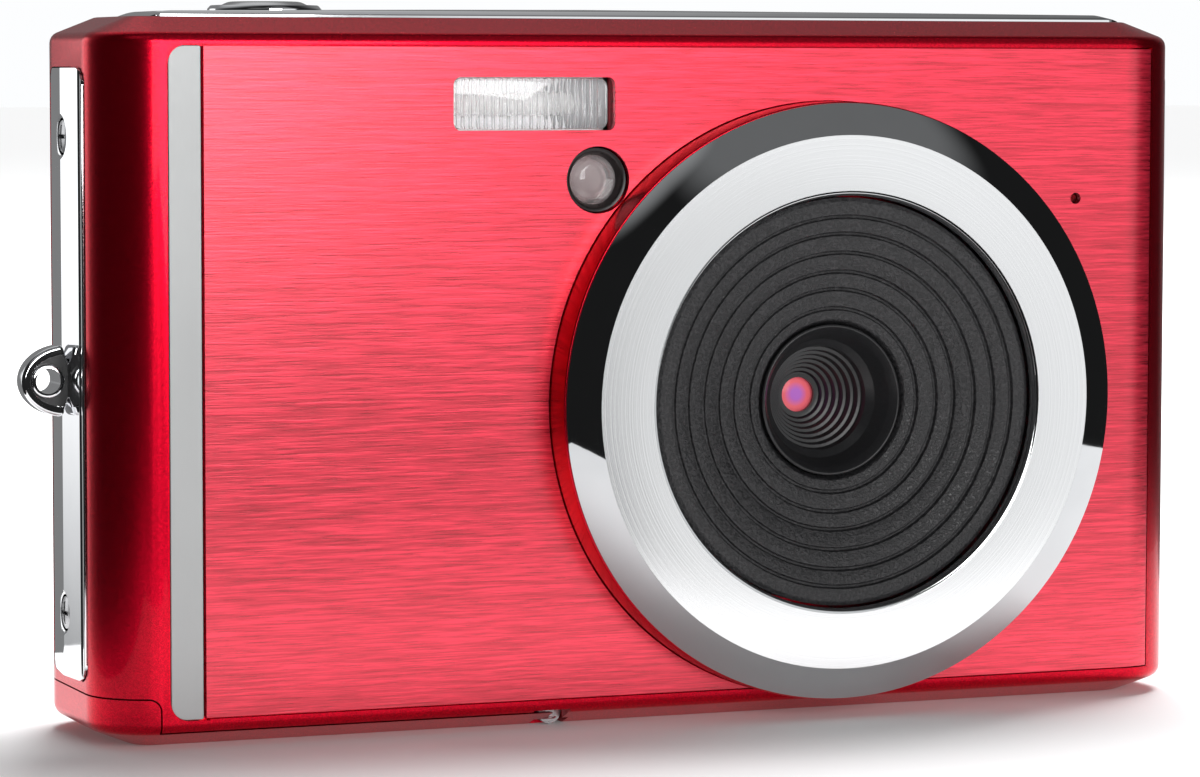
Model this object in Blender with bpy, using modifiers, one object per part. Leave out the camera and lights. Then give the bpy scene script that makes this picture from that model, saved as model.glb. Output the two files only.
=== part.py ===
"""Compact digital camera, built from its separate pieces.

Every length below is in millimetres and the helpers turn it into metres.
X runs to the right seen from the front, the lens looks along -Y, and Z is up.
The origin is the middle of the underside.
"""

import math

import bmesh
import bpy
from mathutils import Matrix, Vector

MM = 0.001
GAP = 0.2

# The outer form
HALF_WIDTH = 46.05
HALF_DEPTH = 9.75
HEIGHT = 55.2
EDGE_RUN = 3.5
EDGE_RISE = 1.15
CORNER_RADIUS = {"front_left": 5.0, "front_right": 6.0, "rear_left": 6.0, "rear_right": 6.0}
WALL = 1.5
FRONT_WALL = 1.75
REAR_WALL = 1.35
FLOOR = 1.4
SPLIT_Y = 5.0
SPLIT_GAP = 0.25

# The front
PANEL_LEFT = -38.05
PANEL_RIGHT = 42.6
PANEL_BOTTOM = 2.4
PANEL_TOP = 52.96
PANEL_THICKNESS = 0.55
STRIP_LEFT = -40.8
STRIP_RIGHT = -38.25
LENS_X = 13.33
LENS_Z = 25.16
BOSS_RADIUS = 23.6
RING_INNER = 16.35
SURROUND_RADIUS = 16.1
BARREL_RADIUS = 6.0
APERTURE = 1.4
FLASH = {"x": (-18.1, -4.93), "z": (46.63, 50.56)}
LAMP_X = -6.28
LAMP_Z = 42.7
LAMP_RADIUS = 2.6
MIC_X = 35.45
MIC_Z = 40.9

# The top, the sides and the bottom
TOP_PLATE = {"x": (-43.6, 42.2), "y": (-5.2, 4.8), "top": 55.95}
SHUTTER_X = -30.25
SHUTTER_Y = -0.2
POWER_X = -18.4
TRIM = {"y": (-5.1, 4.75), "z": (4.9, 51.3), "proud": 0.55}
TRIM_SCREWS_Z = {"lower": 9.7, "upper": 46.1}
TRIM_SCREW_Y = -0.3
LUG_Z = 27.6
LUG_Y = -0.5
LUG_REACH = 3.3
TRIPOD = (20.0, -1.5)
BOTTOM_SCREWS = {"inner": (9.5, -1.5), "outer": (28.2, -1.5)}
SPEAKER_HOLES_X = (34.0, 36.5, 39.0)
USB = {"y": (1.1, 3.9), "z": (10.0, 18.0)}

# The battery door and its hinge
DOOR_END = -8.6
DOOR_SIDE_END = -9.0
BAY_END = -7.9
BAY_SIDE_END = -8.45
BAY_STEP_Y = 7.65
DOOR_THICKNESS = 1.25
DOOR_GAP = 0.25
LIP_HEIGHT = 3.9
LIP_END = -41.6
HINGE_X = -9.35
HINGE_Z = 1.05
KNUCKLE_RADIUS = 1.0
KNUCKLE_HALF = 6.4
EAR_INNER = 6.65
EAR_OUTER = 7.3

# The back
WINDOW = {"x": (-14.0, 41.5), "z": (6.0, 48.0)}
ZOOM = {"x": -30.0, "z": 46.0, "half_x": 5.6, "half_z": 2.3}
PAD_X = -30.0
PAD_Z = 24.0
PAD_RADIUS = 9.0
PAD_BORE = 3.9
KEYS = {
    "mode_button": (-39.2, 37.0),
    "playback_button": (-20.8, 37.0),
    "menu_button": (-39.2, 11.0),
    "delete_button": (-20.8, 11.0),
}
KEY_RADIUS = 2.4

PARTS = "compact_digital_camera"
CUTTERS = "cutters"


def clear_scene():
    for obj in list(bpy.data.objects):
        bpy.data.objects.remove(obj, do_unlink=True)


def collection(name):
    found = bpy.data.collections.get(name)
    if found is None:
        found = bpy.data.collections.new(name)
        bpy.context.scene.collection.children.link(found)
    return found


def paint(name, color, roughness, metallic=0.0):
    """A plain material, made once for each name."""
    found = bpy.data.materials.get(name)
    if found is None:
        found = bpy.data.materials.new(name)
        found.use_nodes = True
        shader = found.node_tree.nodes["Principled BSDF"]
        shader.inputs["Base Color"].default_value = (*color, 1.0)
        shader.inputs["Roughness"].default_value = roughness
        shader.inputs["Metallic"].default_value = metallic
    return found


PAINTS = {
    "red": ((0.55, 0.01, 0.03), 0.3, 0.3),
    "brushed_red": ((0.75, 0.03, 0.07), 0.35, 0.7),
    "silver": ((0.55, 0.55, 0.56), 0.35, 0.6),
    "chrome": ((0.8, 0.8, 0.82), 0.08, 1.0),
    "steel": ((0.45, 0.45, 0.47), 0.35, 1.0),
    "black": ((0.03, 0.03, 0.032), 0.5, 0.0),
    "clear": ((0.8, 0.8, 0.82), 0.1, 0.0),
    "glass": ((0.25, 0.1, 0.2), 0.05, 0.0),
    "board": ((0.02, 0.14, 0.07), 0.5, 0.0),
    "grey": ((0.25, 0.25, 0.26), 0.45, 0.0),
    "screen": ((0.01, 0.01, 0.012), 0.1, 0.0),
}


def finish(obj, paint_name, helper=False):
    """Links an object as a part, or as a hidden helper that only shapes other pieces."""
    collection(CUTTERS if helper else PARTS).objects.link(obj)
    if helper:
        obj.hide_render = True
        obj.display_type = "WIRE"
        return obj
    obj.data.materials.append(paint(paint_name, *PAINTS[paint_name]))
    obj.data.shade_smooth()
    obj.data.set_sharp_from_angle(angle=math.radians(35.0))
    return obj


def mesh_object(name, bm):
    mesh = bpy.data.meshes.new(name)
    bmesh.ops.recalc_face_normals(bm, faces=bm.faces)
    bm.to_mesh(mesh)
    bm.free()
    return bpy.data.objects.new(name, mesh)


def box_mesh(low, high):
    """A bmesh box between two corners, centred on the middle, with that middle."""
    middle = [(a + b) / 2 for a, b in zip(low, high)]
    bm = bmesh.new()
    bmesh.ops.create_cube(bm, size=1.0)
    bmesh.ops.scale(bm, vec=[(b - a) * MM for a, b in zip(low, high)], verts=bm.verts)
    return bm, Vector(middle) * MM


def edges_along(bm, axis):
    index = "XYZ".index(axis)
    chosen = []
    for edge in bm.edges:
        run = edge.verts[1].co - edge.verts[0].co
        if abs(run[index]) > 0.999 * run.length:
            chosen.append(edge)
    return chosen


def block(name, low, high, color=None, rounded=None, radius=0.0, steps=3, soft=0.0):
    """A box. Its edges along one axis may be rounded, and all its edges softened.

    Without a colour it is a helper.
    """
    bm, middle = box_mesh(low, high)
    if rounded:
        bmesh.ops.bevel(
            bm, geom=edges_along(bm, rounded), offset=radius * MM, segments=steps,
            profile=0.5, affect="EDGES", clamp_overlap=True,
        )
    obj = mesh_object(name, bm)
    obj.location = middle
    if soft:
        bevel = obj.modifiers.new("soft_edges", "BEVEL")
        bevel.width = soft * MM
        bevel.segments = 1
        bevel.limit_method = "ANGLE"
    return finish(obj, color, helper=color is None)


TURN = {
    "Z": Matrix.Identity(4),
    "-Y": Matrix.Rotation(math.radians(90.0), 4, "X"),
    "Y": Matrix.Rotation(math.radians(-90.0), 4, "X"),
    "-X": Matrix.Rotation(math.radians(-90.0), 4, "Y"),
    "X": Matrix.Rotation(math.radians(90.0), 4, "Y"),
}


def turned(name, profile, centre, axis="Z", color=None, steps=32):
    """A turned shape. profile holds (radius, height) down the outer side, top to bottom.

    A profile that doesn't start and end on the axis is a closed loop.
    """
    bm = bmesh.new()
    verts = [bm.verts.new((r * MM, 0.0, h * MM)) for r, h in profile]
    for first, second in zip(verts, verts[1:]):
        bm.edges.new((first, second))
    if profile[0][0] > 0:
        bm.edges.new((verts[-1], verts[0]))
    mesh = bpy.data.meshes.new(name)
    bm.to_mesh(mesh)
    bm.free()
    obj = bpy.data.objects.new(name, mesh)
    obj.matrix_world = Matrix.Translation(Vector(centre) * MM) @ TURN[axis]
    screw = obj.modifiers.new("turn", "SCREW")
    screw.steps = steps
    screw.render_steps = steps
    screw.use_merge_vertices = True
    screw.merge_threshold = 0.00001
    return finish(obj, color, helper=color is None)


def rod(name, centre, radius, length, axis="Z", color=None, sides=16):
    """A cylinder that starts at centre and runs along the axis."""
    bm = bmesh.new()
    bmesh.ops.create_cone(
        bm, cap_ends=True, segments=sides, radius1=radius * MM, radius2=radius * MM,
        depth=length * MM,
    )
    bmesh.ops.translate(bm, vec=(0.0, 0.0, length * MM / 2), verts=bm.verts)
    obj = mesh_object(name, bm)
    obj.matrix_world = Matrix.Translation(Vector(centre) * MM) @ TURN[axis]
    return finish(obj, color, helper=color is None)


def boolean(obj, other, operation):
    made = obj.modifiers.new(operation.lower() + "_" + other.name, "BOOLEAN")
    made.operation = operation
    made.object = other
    made.solver = "EXACT"


def cut(obj, *cutters):
    for cutter in cutters:
        boolean(obj, cutter, "DIFFERENCE")


def join(obj, *others):
    for other in others:
        boolean(obj, other, "UNION")


def keep(obj, other):
    boolean(obj, other, "INTERSECT")


def body_form(name, inset=0.0, color=None, segments=5):
    """The camera's outer form, shrunk all round by inset: rounded in plan, sloped at top and bottom."""
    low = (-HALF_WIDTH + inset, -HALF_DEPTH + inset, EDGE_RISE)
    high = (HALF_WIDTH - inset, HALF_DEPTH - inset, HEIGHT - EDGE_RISE)
    bm, middle = box_mesh(low, high)
    for corner, radius in CORNER_RADIUS.items():
        side_x = -1 if corner.endswith("left") else 1
        side_y = -1 if corner.startswith("front") else 1
        for edge in edges_along(bm, "Z"):
            at = edge.verts[0].co
            if at.x * side_x > 0.999 * high[0] * MM and at.y * side_y > 0.999 * high[1] * MM:
                bmesh.ops.bevel(
                    bm, geom=[edge], offset=(radius - inset) * MM, segments=segments,
                    profile=0.5, affect="EDGES", clamp_overlap=False,
                )
                break
    for side in (-1, 1):
        bm.normal_update()
        cap = next(face for face in bm.faces if face.normal.z * side > 0.99)
        bmesh.ops.inset_region(bm, faces=[cap], thickness=(EDGE_RUN - inset) * MM, use_even_offset=True)
        bmesh.ops.translate(bm, vec=(0.0, 0.0, side * EDGE_RISE * MM), verts=cap.verts)
    obj = mesh_object(name, bm)
    obj.location = middle
    return finish(obj, color, helper=color is None)


def cavity():
    """The room inside the two shells."""
    return block(
        "cavity", (-HALF_WIDTH + WALL, -HALF_DEPTH + FRONT_WALL, FLOOR),
        (HALF_WIDTH - WALL, HALF_DEPTH - REAR_WALL, HEIGHT - FLOOR), rounded="Z", radius=3.3,
    )


def door_room(name, slab_end, clear):
    """The door's share of the body: a slab along the bottom and a lip round the left end."""
    slab = block(f"{name}_slab", (-60, -20, -5), (slab_end, 20, DOOR_THICKNESS + clear))
    lip = block(
        f"{name}_lip", (-60, -20, -8), (LIP_END + clear, 20, LIP_HEIGHT + clear), rounded="Y", radius=0.8,
    )
    join(slab, lip)
    return slab


def door_bay():
    """The room for the door. It is longer between the side walls, where the knuckle turns."""
    bay = door_room("door_bay", BAY_SIDE_END, DOOR_GAP)
    join(bay, block("knuckle_room", (-20, -BAY_STEP_Y, -6), (BAY_END, BAY_STEP_Y, DOOR_THICKNESS + DOOR_GAP + 0.4)))
    return bay


def through(name, centre, radius, axis, length=6.0, sides=16):
    """A round cutter that passes through the wall at centre, half its length to each side."""
    back = Vector(centre) * MM - TURN[axis].to_3x3() @ Vector((0, 0, length * MM / 2))
    cutter = rod(name, (0, 0, 0), radius, length, axis, sides=sides)
    cutter.location = back
    return cutter


def pocket_behind_panel():
    """What the brushed panel's bed takes from the shell, following the right corner round."""
    pocket = block(
        "panel_pocket", (PANEL_LEFT - 0.5, -20, PANEL_BOTTOM - 0.12),
        (PANEL_RIGHT + 0.12, -4.2, PANEL_TOP + 0.12),
    )
    cut(pocket, body_form("panel_bed", inset=PANEL_THICKNESS + GAP))
    return pocket


def side_pocket(name, side):
    """The shallow bed of a side trim."""
    low_x, high_x = sorted((side * (HALF_WIDTH - 0.9), side * 60))
    return block(
        name, (low_x, TRIM["y"][0] - 0.15, TRIM["z"][0] - 0.15),
        (high_x, TRIM["y"][1] + 0.15, TRIM["z"][1] + 0.15), rounded="X", radius=1.3,
    )


def top_pocket():
    return block(
        "top_pocket", (TOP_PLATE["x"][0] - 0.15, TOP_PLATE["y"][0] - 0.15, 54.5),
        (TOP_PLATE["x"][1] + 0.15, TOP_PLATE["y"][1] + 0.15, 60), rounded="Z", radius=1.5,
    )


def shells():
    """The red front shell and the silver rear shell, which meet at SPLIT_Y."""
    front = body_form("front_shell", color="red")
    rear = body_form("rear_shell", color="silver")
    inside = cavity()
    cut(front, inside, block("rear_half", (-60, SPLIT_Y, -5), (60, 20, 60)))
    cut(rear, inside, block("front_half", (-60, -20, -5), (60, SPLIT_Y + SPLIT_GAP, 60)))

    for name, (x, y) in BOTTOM_SCREWS.items():
        join(front, rod(f"boss_{name}", (x, y, 0.8), 2.0, 6.0, "Z", sides=12))

    both = [
        door_bay(), top_pocket(), side_pocket("left_pocket", -1), side_pocket("right_pocket", 1),
        block("usb_mouth", (40, USB["y"][0], USB["z"][0]), (60, USB["y"][1], USB["z"][1]), rounded="X", radius=0.6),
    ]
    for shell in (front, rear):
        cut(shell, *both)

    cut(
        front,
        pocket_behind_panel(),
        block(
            "strip_pocket", (STRIP_LEFT - 0.12, -20, 2.3 - 0.12), (STRIP_RIGHT + 0.5, -9.0, 53.0 + 0.12),
            rounded="Y", radius=1.5,
        ),
        through("boss_pocket", (LENS_X, -12.0, LENS_Z), BOSS_RADIUS + 0.15, "Y", 6.0, 48),
        through("barrel_hole", (LENS_X, -8.5, LENS_Z), BARREL_RADIUS + 0.25, "Y", 6.0, 24),
        block("flash_hole", (FLASH["x"][0] - 0.15, -20, FLASH["z"][0] - 0.15),
              (FLASH["x"][1] + 0.15, -5, FLASH["z"][1] + 0.15)),
        through("lamp_hole", (LAMP_X, -8.5, LAMP_Z), LAMP_RADIUS, "Y", 6.0),
        through("mic_hole", (MIC_X, -8.5, MIC_Z), 0.45, "Y", 6.0, 10),
        through("shutter_hole", (SHUTTER_X, SHUTTER_Y, 54), 3.75, "Z", 4.0, 20),
        through("power_hole", (POWER_X, SHUTTER_Y, 54), 2.1, "Z", 4.0),
        through("tripod_hole", (*TRIPOD, 1), 4.7, "Z", 6.0, 20),
        *[through(f"speaker_hole_{i}", (x, -2.5, 1), 0.5, "Z", 6.0, 8) for i, x in enumerate(SPEAKER_HOLES_X)],
        *[through(f"screw_hole_{n}", (x, y, 3), 0.95, "Z", 12.0, 10) for n, (x, y) in BOTTOM_SCREWS.items()],
        *[through(f"head_hole_{n}", (x, y, 0.1), 1.5, "Z", 2.5, 12) for n, (x, y) in BOTTOM_SCREWS.items()],
    )
    for side in (-1, 1):
        for z in TRIM_SCREWS_Z.values():
            cut(front, through(f"trim_hole_{side}_{z}", (side * 45, TRIM_SCREW_Y, z), 0.95, "X", 6.0, 10))
        if side < 0:
            cut(front, through("lug_hole", (-45, LUG_Y, LUG_Z), 1.25, "X", 6.0, 12))

    cut(
        rear,
        block("window_hole", (WINDOW["x"][0] - GAP, 5, WINDOW["z"][0] - GAP),
              (WINDOW["x"][1] + GAP, 20, WINDOW["z"][1] + GAP), rounded="Y", radius=1.6),
        block("zoom_hole", (ZOOM["x"] - ZOOM["half_x"] - 0.25, 5, ZOOM["z"] - ZOOM["half_z"] - 0.25),
              (ZOOM["x"] + ZOOM["half_x"] + 0.25, 20, ZOOM["z"] + ZOOM["half_z"] + 0.25),
              rounded="Y", radius=2.2),
        through("pad_hole", (PAD_X, 9, PAD_Z), PAD_RADIUS + 0.25, "Y", 6.0, 32),
        *[through(f"{name}_hole", (x, 9, z), KEY_RADIUS + 0.2, "Y", 6.0) for name, (x, z) in KEYS.items()],
    )


def front_panel():
    """The brushed sheet: a slice of the outer form, bent back round the right corner."""
    panel = body_form("front_panel", color="brushed_red")
    keep(panel, block("panel_outline", (PANEL_LEFT, -20, PANEL_BOTTOM), (PANEL_RIGHT, -4.3, PANEL_TOP)))
    cut(
        panel,
        body_form("panel_back", inset=PANEL_THICKNESS),
        through("panel_boss_hole", (LENS_X, -9, LENS_Z), BOSS_RADIUS + 0.12, "Y", 10.0, 48),
        block("panel_flash_hole", (FLASH["x"][0] - 0.12, -20, FLASH["z"][0] - 0.12),
              (FLASH["x"][1] + 0.12, -5, FLASH["z"][1] + 0.12), rounded="Y", radius=0.6),
        through("panel_lamp_hole", (LAMP_X, -9, LAMP_Z), LAMP_RADIUS, "Y", 6.0, 20),
        through("panel_mic_hole", (MIC_X, -9, MIC_Z), 0.45, "Y", 6.0, 10),
    )


def front_trim():
    block(
        "silver_trim_strip", (STRIP_LEFT, -HALF_DEPTH, 2.3), (STRIP_RIGHT, -9.15, 53.0),
        "silver", rounded="Y", radius=1.2,
    )


def lens_group():
    """The raised boss, the bright ring, the grooved black front and the fixed lens behind it."""
    at = (LENS_X, 0.0, LENS_Z)
    turned("lens_boss", [
        (22.9, 12.75), (BOSS_RADIUS, 12.6), (BOSS_RADIUS, 9.15), (21.3, 9.15), (21.3, 12.75),
    ], at, "-Y", "red", 64)
    turned("lens_ring", [
        (RING_INNER, 13.9), (16.54, 14.08), (21.08, 14.0), (23.54, 12.98), (21.0, 12.9),
        (21.0, 9.2), (RING_INNER, 9.2),
    ], at, "-Y", "chrome", 64)
    turned("lens_surround", [
        (6.25, 10.7), (7.28, 10.99), (10.22, 11.71), (11.74, 12.32), (14.6, 13.2), (15.9, 13.25),
        (SURROUND_RADIUS, 13.1), (SURROUND_RADIUS, 9.2), (6.25, 9.2),
    ], at, "-Y", "black", 48)
    turned("lens_barrel", [
        (APERTURE, 4.15), (4.17, 8.08), (5.75, 10.75), (BARREL_RADIUS, 10.6), (BARREL_RADIUS, 0.8),
        (3.2, 0.8), (3.2, 3.9), (APERTURE, 3.9),
    ], at, "-Y", "black", 32)
    turned("front_lens", [(0, 3.7), (1.2, 3.6), (2.9, 3.2), (2.9, 2.6), (0, 2.6)], at, "-Y", "glass", 20)
    turned("rear_lens", [(0, 2.3), (2.9, 2.3), (2.9, 1.5), (1.4, 1.2), (0, 1.1)], at, "-Y", "glass", 20)
    holder = block("lens_holder", (LENS_X - 9, -7.75, LENS_Z - 9), (LENS_X + 9, 1.2, LENS_Z + 9), "black")
    cut(
        holder,
        through("holder_bore", (LENS_X, -8, LENS_Z), BARREL_RADIUS + 0.2, "Y", 15.0, 24),
        block("holder_rear", (LENS_X - 6, -0.55, LENS_Z - 5), (LENS_X + 6, 5, LENS_Z + 5)),
    )
    block("ir_filter", (LENS_X - 4.5, -0.35, LENS_Z - 4), (LENS_X + 4.5, 0.05, LENS_Z + 4), "glass")
    block("image_sensor", (LENS_X - 4.5, 0.4, LENS_Z - 4), (LENS_X + 4.5, 1.4, LENS_Z + 4), "grey")
    block("sensor_board", (LENS_X - 12, 1.65, LENS_Z - 11), (LENS_X + 12, 2.45, LENS_Z + 11), "board")


def flash_group():
    x_low, x_high = FLASH["x"]
    z_low, z_high = FLASH["z"]
    block("flash_window", (x_low, -9.85, z_low), (x_high, -8.3, z_high), "clear", rounded="Y", radius=0.6)
    reflector = block("flash_reflector", (x_low - 1, -7.8, z_low - 0.6), (x_high + 1, -3.4, z_high + 0.6), "chrome")
    cut(
        reflector,
        block("reflector_room", (x_low - 0.2, -9, z_low), (x_high + 0.2, -4.1, z_high)),
        through("tube_hole", ((x_low + x_high) / 2, -5.5, 48.6), 1.25, "X", 30.0, 12),
    )
    rod("flash_tube", (x_low - 1.6, -5.5, 48.6), 1.0, x_high - x_low + 3.2, "X", "clear", 12)
    rod("flash_capacitor", (39.3, -3.1, 6.5), 3.8, 28.0, "Z", "black", 20)


def lamp_and_sound():
    rod("lamp_window", (LAMP_X, -8.3, LAMP_Z), LAMP_RADIUS - 0.2, 0.9, "-Y", "clear", 20)
    rod("timer_lamp", (LAMP_X, -4.5, LAMP_Z), 1.5, 3.4, "-Y", "clear", 16)
    rod("microphone", (MIC_X, -5.6, MIC_Z), 2.0, 2.1, "-Y", "grey", 16)
    block("speaker", (31.2, -5.6, 2.0), (41.6, 0.6, 4.8), "grey", rounded="Z", radius=1.0, steps=2)


def side_trim(name, side):
    """A chrome strip let into one side, held by two countersunk screws."""
    inner, outer = HALF_WIDTH - 0.7, HALF_WIDTH + TRIM["proud"]
    low_x, high_x = sorted((side * inner, side * outer))
    trim = block(
        name, (low_x, TRIM["y"][0], TRIM["z"][0]), (high_x, TRIM["y"][1], TRIM["z"][1]),
        "chrome", rounded="X", radius=1.3, soft=0.3,
    )
    outward = "-X" if side < 0 else "X"
    for place, z in TRIM_SCREWS_Z.items():
        cut(trim, through(f"{name}_{place}_hole", (side * HALF_WIDTH, TRIM_SCREW_Y, z), 1.45, "X", 6.0, 16))
        turned(
            f"{name}_{place}_screw", [(0, outer - 0.1), (1.0, outer - 0.1), (1.25, outer - 0.25),
                                      (1.25, outer - 0.6), (0.75, inner + 0.1), (0.75, 43.2), (0, 43.2)],
            (0, TRIM_SCREW_Y, z), outward, "steel", 16,
        )
    return trim


def side_trims():
    left = side_trim("left_side_trim", -1)
    right = side_trim("right_side_trim", 1)
    cut(left, through("trim_lug_hole", (-HALF_WIDTH, LUG_Y, LUG_Z), 1.25, "X", 6.0, 16))
    cut(
        right,
        block("trim_usb_hole", (40, USB["y"][0], USB["z"][0]), (60, USB["y"][1], USB["z"][1]),
              rounded="X", radius=0.6),
    )


def leaf_points(reach, half_height, steps=8):
    """A leaf outline: a pointed tip above and below, and a round nose at reach."""
    points = []
    for i in range(steps + 1):
        angle = math.pi * i / steps
        points.append((-reach * math.sin(angle) ** 0.8, half_height * math.cos(angle)))
    return points


def strap_lug():
    """The strap eye: a leaf-shaped tab with a hole through it, on a stem into the side."""
    outer_x = -HALF_WIDTH - TRIM["proud"] - 0.25
    bm = bmesh.new()
    verts = [bm.verts.new((outer_x * MM + x * MM, -1.7 * MM, z * MM)) for x, z in leaf_points(LUG_REACH, 2.75)]
    face = bm.faces.new(verts)
    grown = bmesh.ops.extrude_face_region(bm, geom=[face])
    moved = [item for item in grown["geom"] if isinstance(item, bmesh.types.BMVert)]
    bmesh.ops.translate(bm, vec=(0.0, 3.4 * MM, 0.0), verts=moved)
    lug = mesh_object("strap_lug", bm)
    lug.location = (0.0, LUG_Y * MM, LUG_Z * MM)
    finish(lug, "chrome")
    join(lug, rod("lug_stem", (-47.5, LUG_Y, LUG_Z), 1.05, 4.0, "X", sides=12))
    cut(lug, through("lug_eye", (outer_x - 1.55, LUG_Y, LUG_Z), 1.05, "Y", 8.0, 16))


def top_group():
    x_low, x_high = TOP_PLATE["x"]
    y_low, y_high = TOP_PLATE["y"]
    top = TOP_PLATE["top"]
    plate = block(
        "top_plate", (x_low, y_low, 54.7), (x_high, y_high, top), "chrome", rounded="Z", radius=1.4, soft=0.35,
    )
    cut(
        plate,
        through("bezel_hole", (SHUTTER_X, SHUTTER_Y, 55), 4.6, "Z", 6.0, 32),
        through("power_plate_hole", (POWER_X, SHUTTER_Y, 55), 2.1, "Z", 6.0, 24),
    )
    turned(
        "shutter_bezel", [(3.7, 56.1), (4.1, 56.15), (4.4, 55.9), (4.4, 54.7), (3.7, 54.7)],
        (SHUTTER_X, SHUTTER_Y, 0), "Z", "chrome", 40,
    )
    turned(
        "shutter_button", [(0, 56.45), (2.6, 56.42), (3.3, 56.2), (3.45, 55.9), (3.45, 53.9), (1.0, 53.9),
                           (1.0, 52.2), (0, 52.2)],
        (SHUTTER_X, SHUTTER_Y, 0), "Z", "chrome", 32,
    )
    turned(
        "power_button", [(0, 55.85), (1.6, 55.85), (1.85, 55.65), (1.85, 53.9), (0.8, 53.9), (0.8, 51.8), (0, 51.8)],
        (POWER_X, SHUTTER_Y, 0), "Z", "chrome", 24,
    )
    block("top_board", (-36.5, -3.2, 50.0), (-13.5, 2.8, 50.9), "board")
    shutter_spring()


def shutter_spring(turns=3.5, per_turn=10):
    """The return spring round the shutter button's stem."""
    low, high, radius = 51.25, 53.5, 1.75
    curve = bpy.data.curves.new("shutter_spring", "CURVE")
    curve.dimensions = "3D"
    curve.bevel_depth = 0.16 * MM
    curve.bevel_resolution = 1
    curve.use_fill_caps = True
    spline = curve.splines.new("POLY")
    count = round(turns * per_turn) + 1
    spline.points.add(count - 1)
    for i, point in enumerate(spline.points):
        share = i / (count - 1)
        angle = 2 * math.pi * turns * share
        height = low + (high - low) * share
        point.co = (radius * math.cos(angle) * MM, radius * math.sin(angle) * MM, height * MM, 1.0)
    curve.materials.append(paint("steel", *PAINTS["steel"]))
    spring = bpy.data.objects.new("shutter_spring", curve)
    spring.location = (SHUTTER_X * MM, SHUTTER_Y * MM, 0.0)
    collection(PARTS).objects.link(spring)


def battery_group():
    """The battery in its box, the catch that holds it, the card slot and the main boards."""
    box = block("battery_box", (-42.9, -7.75, 3.9), (-10.5, -0.45, 45.2), "black", rounded="Z", radius=1.4, steps=2)
    cut(box, block("battery_room", (-42.45, -7.35, 0), (-10.95, -0.85, 44.7)))
    for place, y in (("front", -6.3), ("rear", -2.2)):
        join(box, block(f"catch_ear_{place}", (-10.7, y, 8.6), (-8.8, y + 0.5, 11.2)))
    cut(box, through("catch_pin_hole", (-9.6, -4.0, 10.0), 0.62, "Y", 6.0, 12))
    block("battery", (-42.2, -7.1, 3.9), (-11.2, -1.1, 43.9), "grey", rounded="Z", radius=0.8, steps=2)
    catch = block("battery_catch", (-10.15, -5.6, 3.05), (-9.05, -2.4, 11.0), "silver")
    join(
        catch,
        block("catch_hook", (-12.0, -5.0, 3.05), (-9.6, -3.0, 3.55)),
        rod("catch_pivot", (-9.6, -6.7, 10.0), 0.5, 5.4, "Y", sides=12),
    )
    slot = block("card_slot", (-38.5, 0.1, 3.9), (-12.5, 3.3, 33.0), "steel")
    cut(slot, block("card_room", (-37.9, 0.6, 0), (-13.1, 2.8, 32.4)))
    block("main_board", (-42.5, 4.0, 5.0), (43.0, 5.0, 49.5), "board", rounded="Y", radius=2.0, steps=2)
    block("processor", (27.0, 2.7, 22.0), (37.0, 3.75, 34.0), "black")
    port = block("usb_port", (38.6, USB["y"][0] + 0.2, USB["z"][0] + 0.2),
                 (46.2, USB["y"][1] - 0.2, USB["z"][1] - 0.2), "steel", rounded="X", radius=0.5, steps=2)
    cut(port, block("usb_room", (39.6, USB["y"][0] + 0.6, USB["z"][0] + 0.6),
                    (60, USB["y"][1] - 0.6, USB["z"][1] - 0.6)))
    tongue = block("usb_tongue", (39.0, 2.2, 11.6), (45.2, 2.75, 16.4))
    join(port, tongue)


def door_notches(side):
    """What one side of the door's hinge end loses: room for an ear, and for its own swing under the wall."""
    ear_low, ear_high = sorted((side * 6.45, side * 7.5))
    wall_low, wall_high = sorted((side * 7.4, side * 20))
    return (
        block(f"ear_notch_{side}", (HINGE_X - 1.4, ear_low, -5), (0, ear_high, 10)),
        block(f"end_notch_{side}", (DOOR_SIDE_END, wall_low, -5), (0, wall_high, 10)),
    )


def battery_door():
    """The sliding, swinging door: slab, end lip and hinge knuckle."""
    door = body_form("battery_door", color="red")
    keep(door, door_room("door", DOOR_END, 0.0))
    room = block(
        "door_inside", (-HALF_WIDTH + 1.3, -HALF_DEPTH + 1.3, 1.15), (DOOR_END + 5, HALF_DEPTH - 1.3, 20),
        rounded="Z", radius=3.6,
    )
    cut(door, room)
    join(door, rod("knuckle", (HINGE_X, -KNUCKLE_HALF, HINGE_Z), KNUCKLE_RADIUS, 2 * KNUCKLE_HALF, "Y", sides=20))
    cut(
        door,
        through("pin_bore", (HINGE_X, 0, HINGE_Z), 0.5, "Y", 30.0, 12),
        *[notch for side in (-1, 1) for notch in door_notches(side)],
    )


def door_hinge():
    """The sliding bracket over the door's end, with an ear at each end of the knuckle, and its pin."""
    bracket = block("hinge_bracket", (-14.0, -EAR_OUTER, 2.3), (-8.4, EAR_OUTER, 2.7), "steel")
    for side in (-1, 1):
        ear_low, ear_high = sorted((side * EAR_INNER, side * EAR_OUTER))
        ear = rod(f"ear_{side}", (HINGE_X, ear_low, HINGE_Z), 0.95, ear_high - ear_low, "Y", sides=16)
        web = block(f"ear_web_{side}", (HINGE_X - 0.9, ear_low, HINGE_Z), (HINGE_X + 0.9, ear_high, 2.5))
        join(bracket, ear, web)
    cut(bracket, through("bracket_bore", (HINGE_X, 0, HINGE_Z), 0.46, "Y", 30.0, 12))
    rod("hinge_pin", (HINGE_X, -EAR_OUTER - 0.1, HINGE_Z), 0.4, 2 * EAR_OUTER + 0.2, "Y", "steel", 12)


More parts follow.
